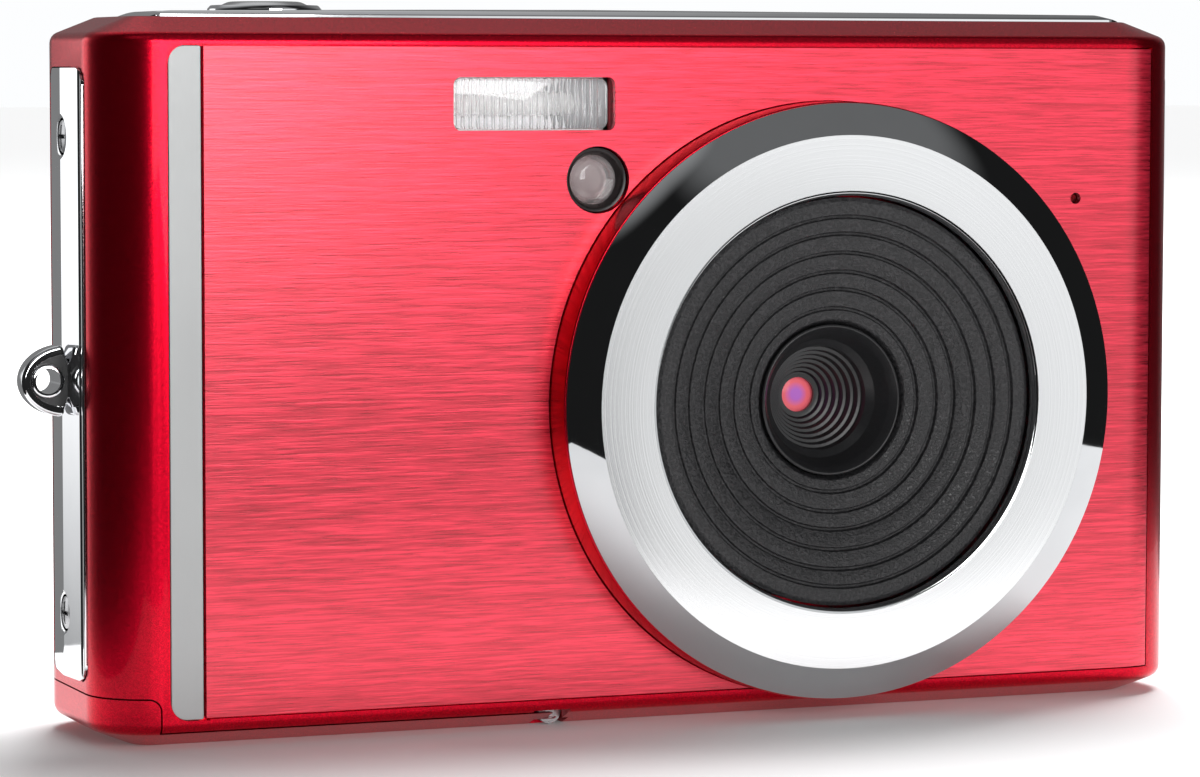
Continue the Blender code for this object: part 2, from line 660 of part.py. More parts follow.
def bottom_group():
    """The tripod socket and the two screws that close the shells."""
    x, y = TRIPOD
    turned(
        "tripod_bush", [(0, 6.6), (3.9, 6.6), (3.9, 1.9), (4.5, 1.9), (4.5, 0.05), (3.2, 0.05), (3.2, 5.8), (0, 5.8)],
        (x, y, 0), "Z", "steel", 32,
    )
    for name, (screw_x, screw_y) in BOTTOM_SCREWS.items():
        turned(
            f"bottom_screw_{name}", [(0, 6.0), (0.75, 6.0), (0.75, 1.15), (1.3, 1.15), (1.3, 0.35), (0, 0.35)],
            (screw_x, screw_y, 0), "Z", "steel", 16,
        )


def display():
    """The glass window, the display and the tray that holds it."""
    x_low, x_high = WINDOW["x"]
    z_low, z_high = WINDOW["z"]
    block("lcd_window", (x_low, 8.75, z_low), (x_high, 9.9, z_high), "screen", rounded="Y", radius=1.4)
    tray = block("lcd_frame", (x_low + 1.2, 5.6, z_low + 1), (x_high - 0.6, 8.4, z_high - 1), "steel")
    cut(tray, block("tray_room", (x_low + 1.7, 6.1, z_low + 1.5), (x_high - 1.1, 12, z_high - 1.5)))
    block("lcd_panel", (x_low + 2, 6.4, z_low + 1.8), (x_high - 1.4, 8.3, z_high - 1.8), "screen")


def button(name, x, z, radius):
    """A round key with its stem, which stands out of the back."""
    turned(name, [(0, 10.15), (radius - 0.4, 10.1), (radius, 9.85), (radius, 8.2), (0.8, 8.2), (0.8, 7.2), (0, 7.2)],
           (x, 0, z), "Y", "silver", 24)


def controls():
    """The keys on the back, all over one small board."""
    block("key_board", (-43.5, 5.8, 6.0), (-15.5, 6.6, 50.0), "board", rounded="Y", radius=1.5, steps=2)
    for name, (x, z) in KEYS.items():
        button(name, x, z, KEY_RADIUS)
    rocker = block(
        "zoom_rocker", (ZOOM["x"] - ZOOM["half_x"], 8.9, ZOOM["z"] - ZOOM["half_z"]),
        (ZOOM["x"] + ZOOM["half_x"], 10.2, ZOOM["z"] + ZOOM["half_z"]), "silver", rounded="Y", radius=2.1,
        soft=0.3,
    )
    join(rocker, block("rocker_stem", (ZOOM["x"] - 3.6, 7.4, ZOOM["z"] - 0.8), (ZOOM["x"] + 3.6, 9.2, ZOOM["z"] + 0.8)))
    turned("nav_pad", [
        (PAD_BORE, 9.75), (4.6, 10.05), (8.4, 10.15), (PAD_RADIUS, 9.8), (PAD_RADIUS, 8.1), (PAD_BORE, 8.1),
    ], (PAD_X, 0, PAD_Z), "Y", "silver", 48)
    turned("nav_pivot", [(1.8, 7.5), (5.0, 7.5), (5.0, 7.15), (1.8, 7.15)], (PAD_X, 0, PAD_Z), "Y", "black", 24)
    turned("ok_button", [
        (0, 10.3), (2.8, 10.25), (3.35, 9.95), (3.35, 8.35), (1.0, 8.35), (1.0, 7.15), (0, 7.15),
    ], (PAD_X, 0, PAD_Z), "Y", "silver", 28)


def main():
    clear_scene()
    shells()
    front_panel()
    front_trim()
    lens_group()
    flash_group()
    lamp_and_sound()
    side_trims()
    strap_lug()
    top_group()
    battery_group()
    battery_door()
    door_hinge()
    bottom_group()
    display()
    controls()


main()
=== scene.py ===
"""The looks of the compact digital camera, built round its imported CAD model."""

import math

import bmesh
import bpy
from mathutils import Matrix, Vector

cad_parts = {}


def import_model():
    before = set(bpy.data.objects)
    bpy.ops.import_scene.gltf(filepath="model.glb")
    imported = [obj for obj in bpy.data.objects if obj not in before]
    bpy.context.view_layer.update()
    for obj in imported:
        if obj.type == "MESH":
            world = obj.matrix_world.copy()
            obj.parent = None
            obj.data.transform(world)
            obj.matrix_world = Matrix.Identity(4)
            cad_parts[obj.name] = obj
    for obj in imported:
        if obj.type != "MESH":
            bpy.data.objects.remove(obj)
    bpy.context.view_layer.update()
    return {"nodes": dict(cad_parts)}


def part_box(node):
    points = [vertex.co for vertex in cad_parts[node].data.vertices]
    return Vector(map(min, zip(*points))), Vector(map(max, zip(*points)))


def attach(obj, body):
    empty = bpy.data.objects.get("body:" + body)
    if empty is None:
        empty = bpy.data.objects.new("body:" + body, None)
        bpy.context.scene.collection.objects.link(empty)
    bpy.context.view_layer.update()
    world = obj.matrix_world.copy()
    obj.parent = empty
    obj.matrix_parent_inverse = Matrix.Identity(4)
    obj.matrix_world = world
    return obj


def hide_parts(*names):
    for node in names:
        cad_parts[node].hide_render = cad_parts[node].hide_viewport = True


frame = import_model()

MM = 0.001

# --- Sizes read from the frame, in millimetres ---


def mm_box(node):
    low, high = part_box(node)
    return low / MM, high / MM


def middle(node):
    low, high = mm_box(node)
    return (low + high) / 2


def half_width(node):
    low, high = mm_box(node)
    return (high.x - low.x) / 2


SHELL_LOW, SHELL_HIGH = mm_box("front_shell")
HALF_WIDTH = SHELL_HIGH.x
FRONT_Y = SHELL_LOW.y
SPLIT_Y = SHELL_HIGH.y
BACK_Y = mm_box("rear_shell")[1].y
HEIGHT = SHELL_HIGH.z
LENS = middle("lens_ring")
LENS.y = 0.0

EDGE_RUN = 3.5       # how far the sloped edge runs in from the sides
EDGE_RISE = 1.4      # how high the sloped edge is
CORNERS = (6.0, 6.0, 6.0, 5.0)   # plan radii: front right, rear right, rear left, front left
SEAM = 0.1           # half a visible gap between two covers

# --- Mesh helpers: all lengths in millimetres ---


def fillet(points, steps=4, closed=False):
    """A polyline whose corners are rounded. Each point is (x, y) or (x, y, radius)."""
    out = []
    count = len(points)
    for i, point in enumerate(points):
        here = Vector(point[:2])
        radius = point[2] if len(point) > 2 else 0.0
        if radius <= 0 or (not closed and i in (0, count - 1)):
            out.append(tuple(here))
            continue
        before = Vector(points[i - 1][:2]) - here
        after = Vector(points[(i + 1) % count][:2]) - here
        half = before.angle(after) / 2
        run = radius / math.tan(half)
        run = min(run, before.length * 0.49, after.length * 0.49)
        radius = run * math.tan(half)
        centre = here + (before.normalized() + after.normalized()).normalized() * (radius / math.sin(half))
        start = here + before.normalized() * run - centre
        sweep = start.angle_signed(here + after.normalized() * run - centre)
        for k in range(steps + 1):
            turned_by = Matrix.Rotation(-sweep * k / steps, 2)
            out.append(tuple(centre + turned_by @ start))
    return out


def from_bmesh(name, bm, location=(0, 0, 0)):
    bmesh.ops.recalc_face_normals(bm, faces=bm.faces)
    mesh = bpy.data.meshes.new(name)
    bm.to_mesh(mesh)
    bm.free()
    obj = bpy.data.objects.new(name, mesh)
    obj.location = Vector(location) * MM
    bpy.context.scene.collection.objects.link(obj)
    return obj


def lofted(name, rings):
    """A skin over rings of points with equal counts, closed by a flat face at each end."""
    bm = bmesh.new()
    rows = [[bm.verts.new(Vector(p) * MM) for p in ring] for ring in rings]
    for low, high in zip(rows, rows[1:]):
        for i in range(len(low)):
            j = (i + 1) % len(low)
            bm.faces.new((low[i], low[j], high[j], high[i]))
    bm.faces.new(list(reversed(rows[0])))
    bm.faces.new(rows[-1])
    return from_bmesh(name, bm)


def plan_ring(inset, z):
    """The camera's outline seen from above at height z, drawn in by inset."""
    x, y_front, y_back = HALF_WIDTH - inset, FRONT_Y + inset, BACK_Y - inset
    corners = [(x, y_front), (x, y_back), (-x, y_back), (-x, y_front)]
    points = [(cx, cy, max(r - inset, 0.4)) for (cx, cy), r in zip(corners, CORNERS)]
    return [(px, py, z) for px, py in fillet(points, 12, closed=True)]


def edge_profile(inset):
    """(inset, height) from the underside to the top, with the sloped edges and their soft corners."""
    run, rise = EDGE_RUN, EDGE_RISE
    points = [
        (run + 3.0, inset), (run, inset, 1.2), (inset, rise, 0.9), (inset, HEIGHT - rise, 0.9),
        (run, HEIGHT - inset, 1.2), (run + 3.0, HEIGHT - inset),
    ]
    return fillet(points, 4)


def camera_form(name, inset=0.0):
    return lofted(name, [plan_ring(i, z) for i, z in edge_profile(inset)[1:-1]])


def boxed(name, low, high, round_axis=None, radius=0.0, soft=0.0, segments=6):
    """A box with rounded edges along one axis, and softened ones all over."""
    low, high = Vector(low), Vector(high)
    bm = bmesh.new()
    bmesh.ops.create_cube(bm, size=1.0)
    bmesh.ops.scale(bm, vec=(high - low) * MM, verts=bm.verts)
    if round_axis:
        index = "XYZ".index(round_axis)
        chosen = [
            e for e in bm.edges
            if abs((e.verts[1].co - e.verts[0].co)[index]) > 0.999 * e.calc_length()
        ]
        bmesh.ops.bevel(bm, geom=chosen, offset=radius * MM, segments=segments, profile=0.5, affect="EDGES")
    obj = from_bmesh(name, bm, (low + high) / 2)
    if soft:
        soften(obj, soft)
    return obj


AXES = {
    "Z": Matrix.Identity(4),
    "-Y": Matrix.Rotation(math.radians(90), 4, "X"),
    "Y": Matrix.Rotation(math.radians(-90), 4, "X"),
    "X": Matrix.Rotation(math.radians(90), 4, "Y"),
    "-X": Matrix.Rotation(math.radians(-90), 4, "Y"),
}


def rod(radius, half_length):
    """The profile of a plain cylinder."""
    return [(0, half_length), (radius, half_length), (radius, -half_length), (0, -half_length)]


def turned(name, profile, centre, axis="Z", steps=96):
    """A turned shape. profile holds (radius, height) down the outer side, top to bottom."""
    bm = bmesh.new()
    on_axis = profile[0][0] < 1e-6
    columns = []
    for k in range(steps):
        angle = 2 * math.pi * k / steps
        column = []
        for radius, height in profile:
            if radius < 1e-6 and columns:
                column.append(columns[0][len(column)])
            else:
                column.append(bm.verts.new((
                    radius * math.cos(angle) * MM, radius * math.sin(angle) * MM, height * MM,
                )))
        columns.append(column)
    count = len(profile)
    for k in range(steps):
        one, two = columns[k], columns[(k + 1) % steps]
        for i in range(count if not on_axis else count - 1):
            j = (i + 1) % count
            quad = [one[i], one[j], two[j], two[i]]
            unique = list(dict.fromkeys(quad))
            if len(unique) > 2:
                bm.faces.new(unique)
    obj = from_bmesh(name, bm)
    obj.matrix_world = Matrix.Translation(Vector(centre) * MM) @ AXES[axis]
    return obj


def drill(name, centre, radius, axis, length=8.0, steps=48):
    """A round cutter through centre, half its length to each side."""
    return turned(name, rod(radius, length / 2), centre, axis, steps)


def settle(obj):
    """Applies every modifier to the mesh."""
    graph = bpy.context.evaluated_depsgraph_get()
    graph.update()
    mesh = bpy.data.meshes.new_from_object(obj.evaluated_get(graph))
    mesh.name = obj.name
    obj.modifiers.clear()
    obj.data = mesh
    return obj


def combine(obj, others, operation):
    """Cuts others from obj, or joins them to it, and removes them."""
    for other in others:
        step = obj.modifiers.new(other.name, "BOOLEAN")
        step.operation = operation
        step.object = other
        step.solver = "EXACT"
    settle(obj)
    for other in others:
        bpy.data.objects.remove(other, do_unlink=True)
    return obj


def cut(obj, *others):
    return combine(obj, others, "DIFFERENCE")


def join(obj, *others):
    return combine(obj, others, "UNION")


def keep(obj, *others):
    return combine(obj, others, "INTERSECT")


def soften(obj, width, segments=2, angle=30):
    bevel = obj.modifiers.new("soft_edges", "BEVEL")
    bevel.width = width * MM
    bevel.segments = segments
    bevel.limit_method = "ANGLE"
    bevel.angle_limit = math.radians(angle)
    bevel.harden_normals = False
    return obj


def smooth(obj, angle=32, weighted=True):
    obj.data.shade_smooth()
    obj.data.set_sharp_from_angle(angle=math.radians(angle))
    if weighted:
        normals = obj.modifiers.new("even_normals", "WEIGHTED_NORMAL")
        normals.keep_sharp = True
    return obj


def dress(obj, finish, slot, body="root", replaces=None):
    """Paints a piece, lets it ride on its body and stand for its CAD node."""
    obj.data.materials.clear()
    obj.data.materials.append(M[finish])
    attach(obj, body)
    if replaces:
        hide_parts(replaces)
    return obj


def round_piece(name, profile, centre, axis, steps, *dressing, corner=3, angle=40, **more):
    """A turned piece with rounded corners, smoothed and dressed."""
    piece = turned(name, fillet(profile, corner), centre, axis, steps)
    smooth(piece, angle, weighted=False)
    return dress(piece, *dressing, **more)

# --- Materials ---


class Paint:
    """A material with a short way to add and join its nodes."""

    def __init__(self, name, **sockets):
        self.material = bpy.data.materials.new(name)
        self.material.use_nodes = True
        self.tree = self.material.node_tree
        self.shader = self.tree.nodes["Principled BSDF"]
        self.set(**sockets)

    def set(self, **sockets):
        for name, value in sockets.items():
            socket = self.shader.inputs[name.replace("_", " ")]
            if name in ("Base_Color", "Coat_Tint", "Emission_Color", "Specular_Tint"):
                value = (*value, 1.0)
            socket.default_value = value

    def add(self, kind, settings=None, **inputs):
        """A new node. An input is given by its name, or by its number as i0, i1 and so on."""
        node = self.tree.nodes.new("ShaderNode" + kind)
        for name, value in (settings or {}).items():
            setattr(node, name, value)
        for name, value in inputs.items():
            by_number = name[0] == "i" and name[1:].isdigit()
            socket = node.inputs[int(name[1:]) if by_number else name.replace("_", " ")]
            if isinstance(value, bpy.types.NodeSocket):
                self.tree.links.new(value, socket)
            else:
                socket.default_value = value
        return node

    def place(self, stretch=(1.0, 1.0, 1.0)):
        """The piece's own coordinates in millimetres, stretched per axis."""
        coordinates = self.add("TexCoord").outputs["Object"]
        scale = [s / MM for s in stretch]
        return self.add("Mapping", Vector=coordinates, Scale=scale).outputs["Vector"]

    def noise(self, scale, stretch=(1.0, 1.0, 1.0), detail=2.0, rough=0.5):
        return self.add(
            "TexNoise", Vector=self.place(stretch), Scale=scale, Detail=detail, Roughness=rough,
        ).outputs["Fac"]

    def between(self, factor, low, high, start=0.3, end=0.7):
        """A number that runs from low to high as factor runs from start to end."""
        return self.add(
            "MapRange", Value=factor, From_Min=start, From_Max=end, To_Min=low, To_Max=high,
        ).outputs["Result"]

    def blend(self, factor, one, two):
        """A colour between one and two."""
        mix = self.add("Mix", {"data_type": "RGBA"}, i0=factor, i6=(*one, 1.0), i7=(*two, 1.0))
        return mix.outputs[2]

    def math(self, operation, *values):
        numbered = {f"i{k}": value for k, value in enumerate(values)}
        return self.add("Math", {"operation": operation}, **numbered).outputs[0]

    def feed(self, name, socket):
        self.tree.links.new(socket, self.shader.inputs[name.replace("_", " ")])

    def bump(self, height, depth_mm, strength=1.0):
        """Relief of the given depth in millimetres."""
        made = self.add("Bump", Height=height, Distance=depth_mm * MM, Strength=strength)
        self.feed("Normal", made.outputs["Normal"])
        return made


def red_paint(name, color=(0.62, 0.002, 0.020), flake=0.30):
    """Glossy red paint with fine metal flake under a clear coat."""
    paint = Paint(name, Metallic=0.96, Coat_Weight=0.16, Coat_Roughness=0.05, Coat_IOR=1.45)
    grains = paint.add("TexVoronoi", Vector=paint.place(), Scale=13.0).outputs["Color"]
    shade = paint.add("SeparateColor", Color=grains).outputs["Red"]
    deep = tuple(c * (1 - flake) for c in color)
    bright = tuple(min(c * (1 + flake), 1.0) for c in color)
    paint.feed("Base_Color", paint.blend(shade, deep, bright))
    paint.feed("Roughness", paint.between(paint.noise(0.05), 0.25, 0.27))
    paint.bump(paint.noise(5.0, detail=1.0), 0.0008, 0.4)
    return paint.material


def brushed_red():
    """Red anodised sheet, brushed along its length."""
    paint = Paint(
        "brushed_red_anodised", Metallic=0.9, Anisotropic=0.7,
        Coat_Weight=1.0, Coat_Roughness=0.24, Coat_IOR=1.62,
    )
    tangent = paint.add("Tangent", {"direction_type": "UV_MAP", "uv_map": "along"})
    paint.feed("Tangent", tangent.outputs["Tangent"])
    fine = paint.noise(1.0, (0.30, 1.0, 8.0), 3.0, 0.6)
    long = paint.noise(1.0, (0.12, 1.0, 3.2), 4.0, 0.65)
    streak = paint.math("MULTIPLY", fine, long)
    paint.feed("Base_Color", paint.blend(
        paint.between(streak, 0.0, 1.0, 0.12, 0.36), (0.52, 0.002, 0.022), (1.0, 0.026, 0.075),
    ))
    paint.feed("Roughness", paint.between(fine, 0.24, 0.38, 0.25, 0.75))
    brushed = paint.bump(streak, 0.011, 1.0)
    paint.feed("Coat_Normal", brushed.outputs["Normal"])
    return paint.material


def satin_metal(name, color, roughness=0.35, metallic=0.9, stretch=(1, 1, 1), scale=4.0, depth=0.003):
    """Satin metal or metallic paint with a fine surface, whose grain may be drawn out along an axis."""
    paint = Paint(name, Metallic=metallic)
    grain = paint.noise(scale, stretch, 3.0, 0.6)
    cloud = paint.noise(0.08)
    dark = tuple(c * 0.93 for c in color)
    paint.feed("Base_Color", paint.blend(paint.between(cloud, 0, 1), dark, color))
    paint.feed("Roughness", paint.between(grain, roughness * 0.85, roughness * 1.15))
    paint.bump(grain, depth, 0.5)
    return paint.material


def chrome(name, color=(0.88, 0.885, 0.90), roughness=0.045):
    """Bright plating with faint waves and the odd wipe mark."""
    paint = Paint(name, Metallic=1.0)
    cloud = paint.noise(0.25, detail=3.0)
    paint.feed("Base_Color", paint.blend(paint.between(cloud, 0, 1), tuple(c * 0.96 for c in color), color))
    paint.feed("Roughness", paint.between(cloud, roughness * 0.6, roughness * 1.5))
    paint.bump(paint.noise(0.12), 0.01, 0.25)
    return paint.material


def spun_metal():
    """The ring's face: fine turned lines round the lens."""
    paint = Paint("spun_aluminium", Metallic=1.0, Anisotropic=0.35)
    tangent = paint.add("Tangent", {"direction_type": "RADIAL", "axis": "Z"})
    paint.feed("Tangent", tangent.outputs["Tangent"])
    parts = paint.add("SeparateXYZ", Vector=paint.add("TexCoord").outputs["Object"])
    x, y = parts.outputs["X"], parts.outputs["Y"]
    squares = paint.math("MULTIPLY", x, x), paint.math("MULTIPLY", y, y)
    radius = paint.math("SQRT", paint.math("ADD", *squares))
    lines = paint.add(
        "TexNoise", {"noise_dimensions": "1D"}, W=radius, Scale=9000.0, Detail=2.0,
    ).outputs["Fac"]
    dull, bright = (0.79, 0.795, 0.80), (0.87, 0.875, 0.88)
    paint.feed("Base_Color", paint.blend(paint.between(lines, 0, 1), dull, bright))
    paint.feed("Roughness", paint.between(lines, 0.15, 0.20))
    paint.bump(lines, 0.003, 0.5)
    return paint.material


def moulded(name, color, roughness=0.5, grain=0.012, scale=3.5, coat=0.0):
    """Moulded plastic with a fine texture."""
    paint = Paint(name, Coat_Weight=coat, Coat_Roughness=0.1)
    fine = paint.noise(scale, detail=4.0, rough=0.6)
    cells = paint.add(
        "TexVoronoi", {"feature": "SMOOTH_F1"}, Vector=paint.place(), Scale=scale * 0.8,
    ).outputs["Distance"]
    relief = paint.math("ADD", fine, cells)
    pale = tuple(min(c * 1.25 + 0.004, 1.0) for c in color)
    paint.feed("Base_Color", paint.blend(paint.between(fine, 0, 1), color, pale))
    paint.feed("Roughness", paint.between(fine, roughness * 0.88, roughness * 1.1))
    paint.bump(relief, grain, 0.7)
    return paint.material


def grained(name, low, high, roughness, depth):
    """Leather-grained plastic: small hard-edged pits and a few glints."""
    paint = Paint(name, Specular_IOR_Level=0.45)
    pits = paint.noise(3.6, detail=3.0, rough=0.7)
    worn = paint.noise(7.0, detail=2.0)
    paint.feed("Base_Color", paint.blend(paint.between(pits, 0, 1, 0.42, 0.62), low, high))
    paint.feed("Roughness", paint.between(worn, roughness * 0.7, roughness * 1.2, 0.35, 0.65))
    paint.bump(paint.between(pits, 0, 1, 0.40, 0.62), depth, 1.0)
    return paint.material


def clear_plastic(name, tint=(0.97, 0.97, 0.98), roughness=0.03, transmission=0.92):
    """Clear moulding, with the slight ripple of a moulded face."""
    paint = Paint(name, Transmission_Weight=transmission, IOR=1.49, Base_Color=tint)
    ripple = paint.noise(0.5)
    paint.feed("Roughness", paint.between(ripple, roughness, roughness * 2.0))
    paint.bump(ripple, 0.004, 0.3)
    return paint.material


def dark_glass(name, color=(0.006, 0.006, 0.008), roughness=0.03):
    """Black-backed glass with faint dust."""
    paint = Paint(name, Coat_Weight=1.0, Coat_Roughness=0.02, Specular_IOR_Level=0.6)
    dust = paint.noise(2.0, detail=5.0, rough=0.75)
    paint.feed("Base_Color", paint.blend(
        paint.between(dust, 0, 1, 0.62, 0.85), color, tuple(c + 0.02 for c in color),
    ))
    paint.feed("Roughness", paint.between(dust, roughness, roughness * 3.0))
    return paint.material


def circuit_board():
    """Green solder mask over a grid of tracks."""
    paint = Paint("circuit_board", Specular_IOR_Level=0.5)
    tracks = paint.add(
        "TexBrick", {"offset": 0.35}, Vector=paint.place((1, 1, 1)), Scale=0.9, Mortar_Size=0.03,
        Color1=(0.010, 0.10, 0.045, 1), Color2=(0.014, 0.13, 0.055, 1), Mortar=(0.05, 0.25, 0.11, 1),
    )
    paint.feed("Base_Color", tracks.outputs["Color"])
    paint.feed("Roughness", paint.between(paint.noise(2.0), 0.35, 0.5))
    paint.bump(tracks.outputs["Fac"], 0.02, 0.4)
    return paint.material


def lens_glass():
    """The coated front element: rose, with a violet middle, and a faint painted glow in the same colours.
    """
    paint = Paint(
        "coated_lens", Coat_Weight=0.25, Coat_Roughness=0.05, Roughness=0.5, Specular_IOR_Level=0.2,
    )
    parts = paint.add("TexGradient", {"gradient_type": "SPHERICAL"}, Vector=paint.place((0.62, 0.62, 0.0)))
    ramp = paint.add("ValToRGB", Fac=parts.outputs["Fac"])
    ramp.color_ramp.elements[0].color = (0.74, 0.12, 0.15, 1)
    ramp.color_ramp.elements[1].color = (0.42, 0.12, 0.50, 1)
    ramp.color_ramp.elements[0].position = 0.38
    ramp.color_ramp.elements[1].position = 0.74
    paint.feed("Base_Color", ramp.outputs["Color"])
    # Painted light: the lens glows faintly in its own colours, though it is no lamp.
    paint.feed("Emission_Color", ramp.outputs["Color"])
    paint.set(Emission_Strength=0.25)
    return paint.material


M = {
    "red": red_paint("red_metallic_paint"),
    "boss": red_paint("red_gloss_boss", (0.66, 0.004, 0.022), 0.05),
    "panel": brushed_red(),
    "strip": satin_metal("silver_strip_satin", (0.36, 0.365, 0.365), 0.38, 0.75, (6.0, 1.0, 0.2)),
    "silver": satin_metal("silver_shell_paint", (0.56, 0.565, 0.57), 0.36, 0.6, scale=9.0, depth=0.0006),
    "keys": satin_metal("silver_key_paint", (0.62, 0.625, 0.63), 0.28, 0.7, scale=9.0, depth=0.0006),
    "chrome": chrome("bright_chrome"),
    "mirror": chrome("polished_bevel", (0.56, 0.57, 0.58), 0.03),
    "satin_chrome": satin_metal("button_satin_chrome", (0.78, 0.78, 0.79), 0.2, 1.0, scale=6.0),
    "spun": spun_metal(),
    "steel": satin_metal("plain_steel", (0.50, 0.50, 0.51), 0.3, 1.0, (1, 1, 5), 2.0),
    "grain": grained("black_grained_plastic", (0.010, 0.010, 0.011), (0.030, 0.029, 0.031), 0.42, 0.035),
    "black": moulded("black_satin_plastic", (0.012, 0.012, 0.013), 0.32, 0.006, 4.0),
    "dark": moulded("dark_plastic", (0.03, 0.03, 0.032), 0.55, 0.01, 3.0),
    "clear": clear_plastic("flash_clear"),
    "lamp": clear_plastic("lamp_clear", (0.90, 0.88, 0.88)),
    "glass": dark_glass("display_glass"),
    "screen": dark_glass("display_surface", (0.016, 0.019, 0.026), 0.12),
    "board": circuit_board(),
    "lens": lens_glass(),
    "wrap": moulded("battery_wrap", (0.10, 0.11, 0.13), 0.4, 0.004, 2.0, 0.3),
    "catch": moulded("catch_plastic", (0.75, 0.62, 0.10), 0.4, 0.004, 3.0),
    "reflector": satin_metal("flash_reflector_bright", (0.95, 0.95, 0.96), 0.5, 0.25),
    # A dark grey that paints the shade at the flash trough's right end.
    "cheek": satin_metal("flash_cheek_painted_shade", (0.16, 0.16, 0.165), 0.35, 0.5),
    "tube": clear_plastic("flash_tube_glass", (0.9, 0.9, 0.88), 0.05, 0.6),
    "sleeve": moulded("lamp_sleeve_dark", (0.006, 0.003, 0.003), 0.3, 0.004, 4.0),
    "cup": chrome("lamp_cup_chrome", (0.34, 0.34, 0.345), 0.12),
    "led": moulded("lamp_rose", (0.115, 0.062, 0.064), 0.45, 0.02, 4.0),
    "mark": moulded("key_mark", (0.045, 0.045, 0.05), 0.45, 0.003, 4.0),
}

# --- Nodes kept from the frame, each with its own finish ---

KEPT = {
    "lens_holder": "dark", "rear_lens": "lens", "ir_filter": "glass", "image_sensor": "dark",
    "sensor_board": "board", "flash_capacitor": "dark", "microphone": "steel", "speaker": "steel",
    "top_board": "board", "shutter_spring": "steel", "battery_box": "black", "battery": "wrap",
    "battery_catch": "catch", "card_slot": "steel", "main_board": "board", "processor": "dark",
    "usb_port": "steel", "hinge_bracket": "steel", "hinge_pin": "steel", "lcd_frame": "steel",
    "key_board": "board", "nav_pivot": "black",
}


def paint_nodes(table):
    for node, finish in table.items():
        obj = frame["nodes"][node]
        obj.data.materials.clear()
        obj.data.materials.append(M[finish])

# --- Covers ---

PANEL_LOW, PANEL_HIGH = mm_box("front_panel")
STRIP_LOW, STRIP_HIGH = mm_box("silver_trim_strip")
DOOR_HIGH = mm_box("battery_door")[1]
TRIM_LOW, TRIM_HIGH = mm_box("left_side_trim")
TOP_LOW, TOP_HIGH = mm_box("top_plate")
TOP_LOW.x += 2.2     # the plate tapers to nothing at its left end
FLASH_LOW, FLASH_HIGH = mm_box("flash_window")
WINDOW_LOW, WINDOW_HIGH = mm_box("lcd_window")
ZOOM_LOW, ZOOM_HIGH = mm_box("zoom_rocker")
LAMP = middle("lamp_window")
MIC = middle("microphone")
SHUTTER = middle("shutter_bezel")
POWER = middle("power_button")
TRIPOD = middle("tripod_bush")
PAD = middle("nav_pad")
USB = middle("usb_port")
KEYS = ("mode_button", "playback_button", "menu_button", "delete_button")
WALL = 1.5           # thickness at the ends
FRONT_WALL = 1.75
REAR_WALL = 1.35
FLOOR = 1.4          # thickness at the top and underside
BOSS_RADIUS = half_width("lens_boss")
BARREL_RADIUS = half_width("lens_barrel")
RING_IN = 16.35
KEY_RADIUS = half_width("mode_button")
PAD_RADIUS = half_width("nav_pad")
LIP_TOP = DOOR_HIGH.z
LIP_END = -41.6
DOOR_SLAB_TOP = 1.25
DOOR_GAP = 0.25


def opening(name, low, high, clear, y_low, y_high, radius=0.0, segments=6):
    """A cutter through a cover's front or back, clear of a piece's box."""
    return boxed(
        name, (low.x - clear, y_low, low.z - clear), (high.x + clear, y_high, high.z + clear),
        "Y" if radius else None, radius, segments=segments,
    )


def side_of_split(name, y_low, y_high):
    return boxed(name, (-60, y_low, -5), (60, y_high, 70))


def door_room(name, end, clear):
    """The slab along the underside and the lip round the left end, with the lip's rounded corner."""
    slab = boxed(name + "_slab", (-60, -20, -5), (end, 20, DOOR_SLAB_TOP + clear))
    lip = boxed(
        name + "_lip", (-60, -20, -8), (LIP_END + clear, 20, LIP_TOP + clear), "Y", 0.9 + clear, segments=8,
    )
    return join(slab, lip)


def common_cuts():
    """What both shells give up to the pieces that cross their joint."""
    pockets = []
    for side in (-1, 1):
        x_low, x_high = sorted((side * (HALF_WIDTH - 0.9), side * 60))
        pockets.append(boxed(
            f"side_pocket_{side}", (x_low, TRIM_LOW.y - SEAM, TRIM_LOW.z - SEAM),
            (x_high, TRIM_HIGH.y + SEAM, TRIM_HIGH.z + SEAM), "X", 1.35, segments=8,
        ))
    pockets.append(boxed(
        "top_pocket", (TOP_LOW.x - SEAM, TOP_LOW.y - SEAM, HEIGHT - 0.7),
        (TOP_HIGH.x + SEAM, TOP_HIGH.y + SEAM, HEIGHT + 5), "Z", 1.45, segments=8,
    ))
    pockets.append(door_room("bay", -8.45, DOOR_GAP / 2))
    pockets.append(boxed("hinge_room", (-11.5, -20, -6), (-8.45, 20, DOOR_SLAB_TOP + DOOR_GAP)))
    pockets.append(boxed("knuckle_bay", (-20, -7.65, -6), (-7.9, 7.65, 1.9)))
    pockets.append(boxed("usb_mouth", (40, 1.1, USB.z - 4), (60, 3.9, USB.z + 4), "X", 0.6))
    return pockets


def inner_room(name):
    return boxed(
        name, (-HALF_WIDTH + WALL, FRONT_Y + FRONT_WALL, FLOOR),
        (HALF_WIDTH - WALL, BACK_Y - REAR_WALL, HEIGHT - FLOOR), "Z", 3.3,
    )


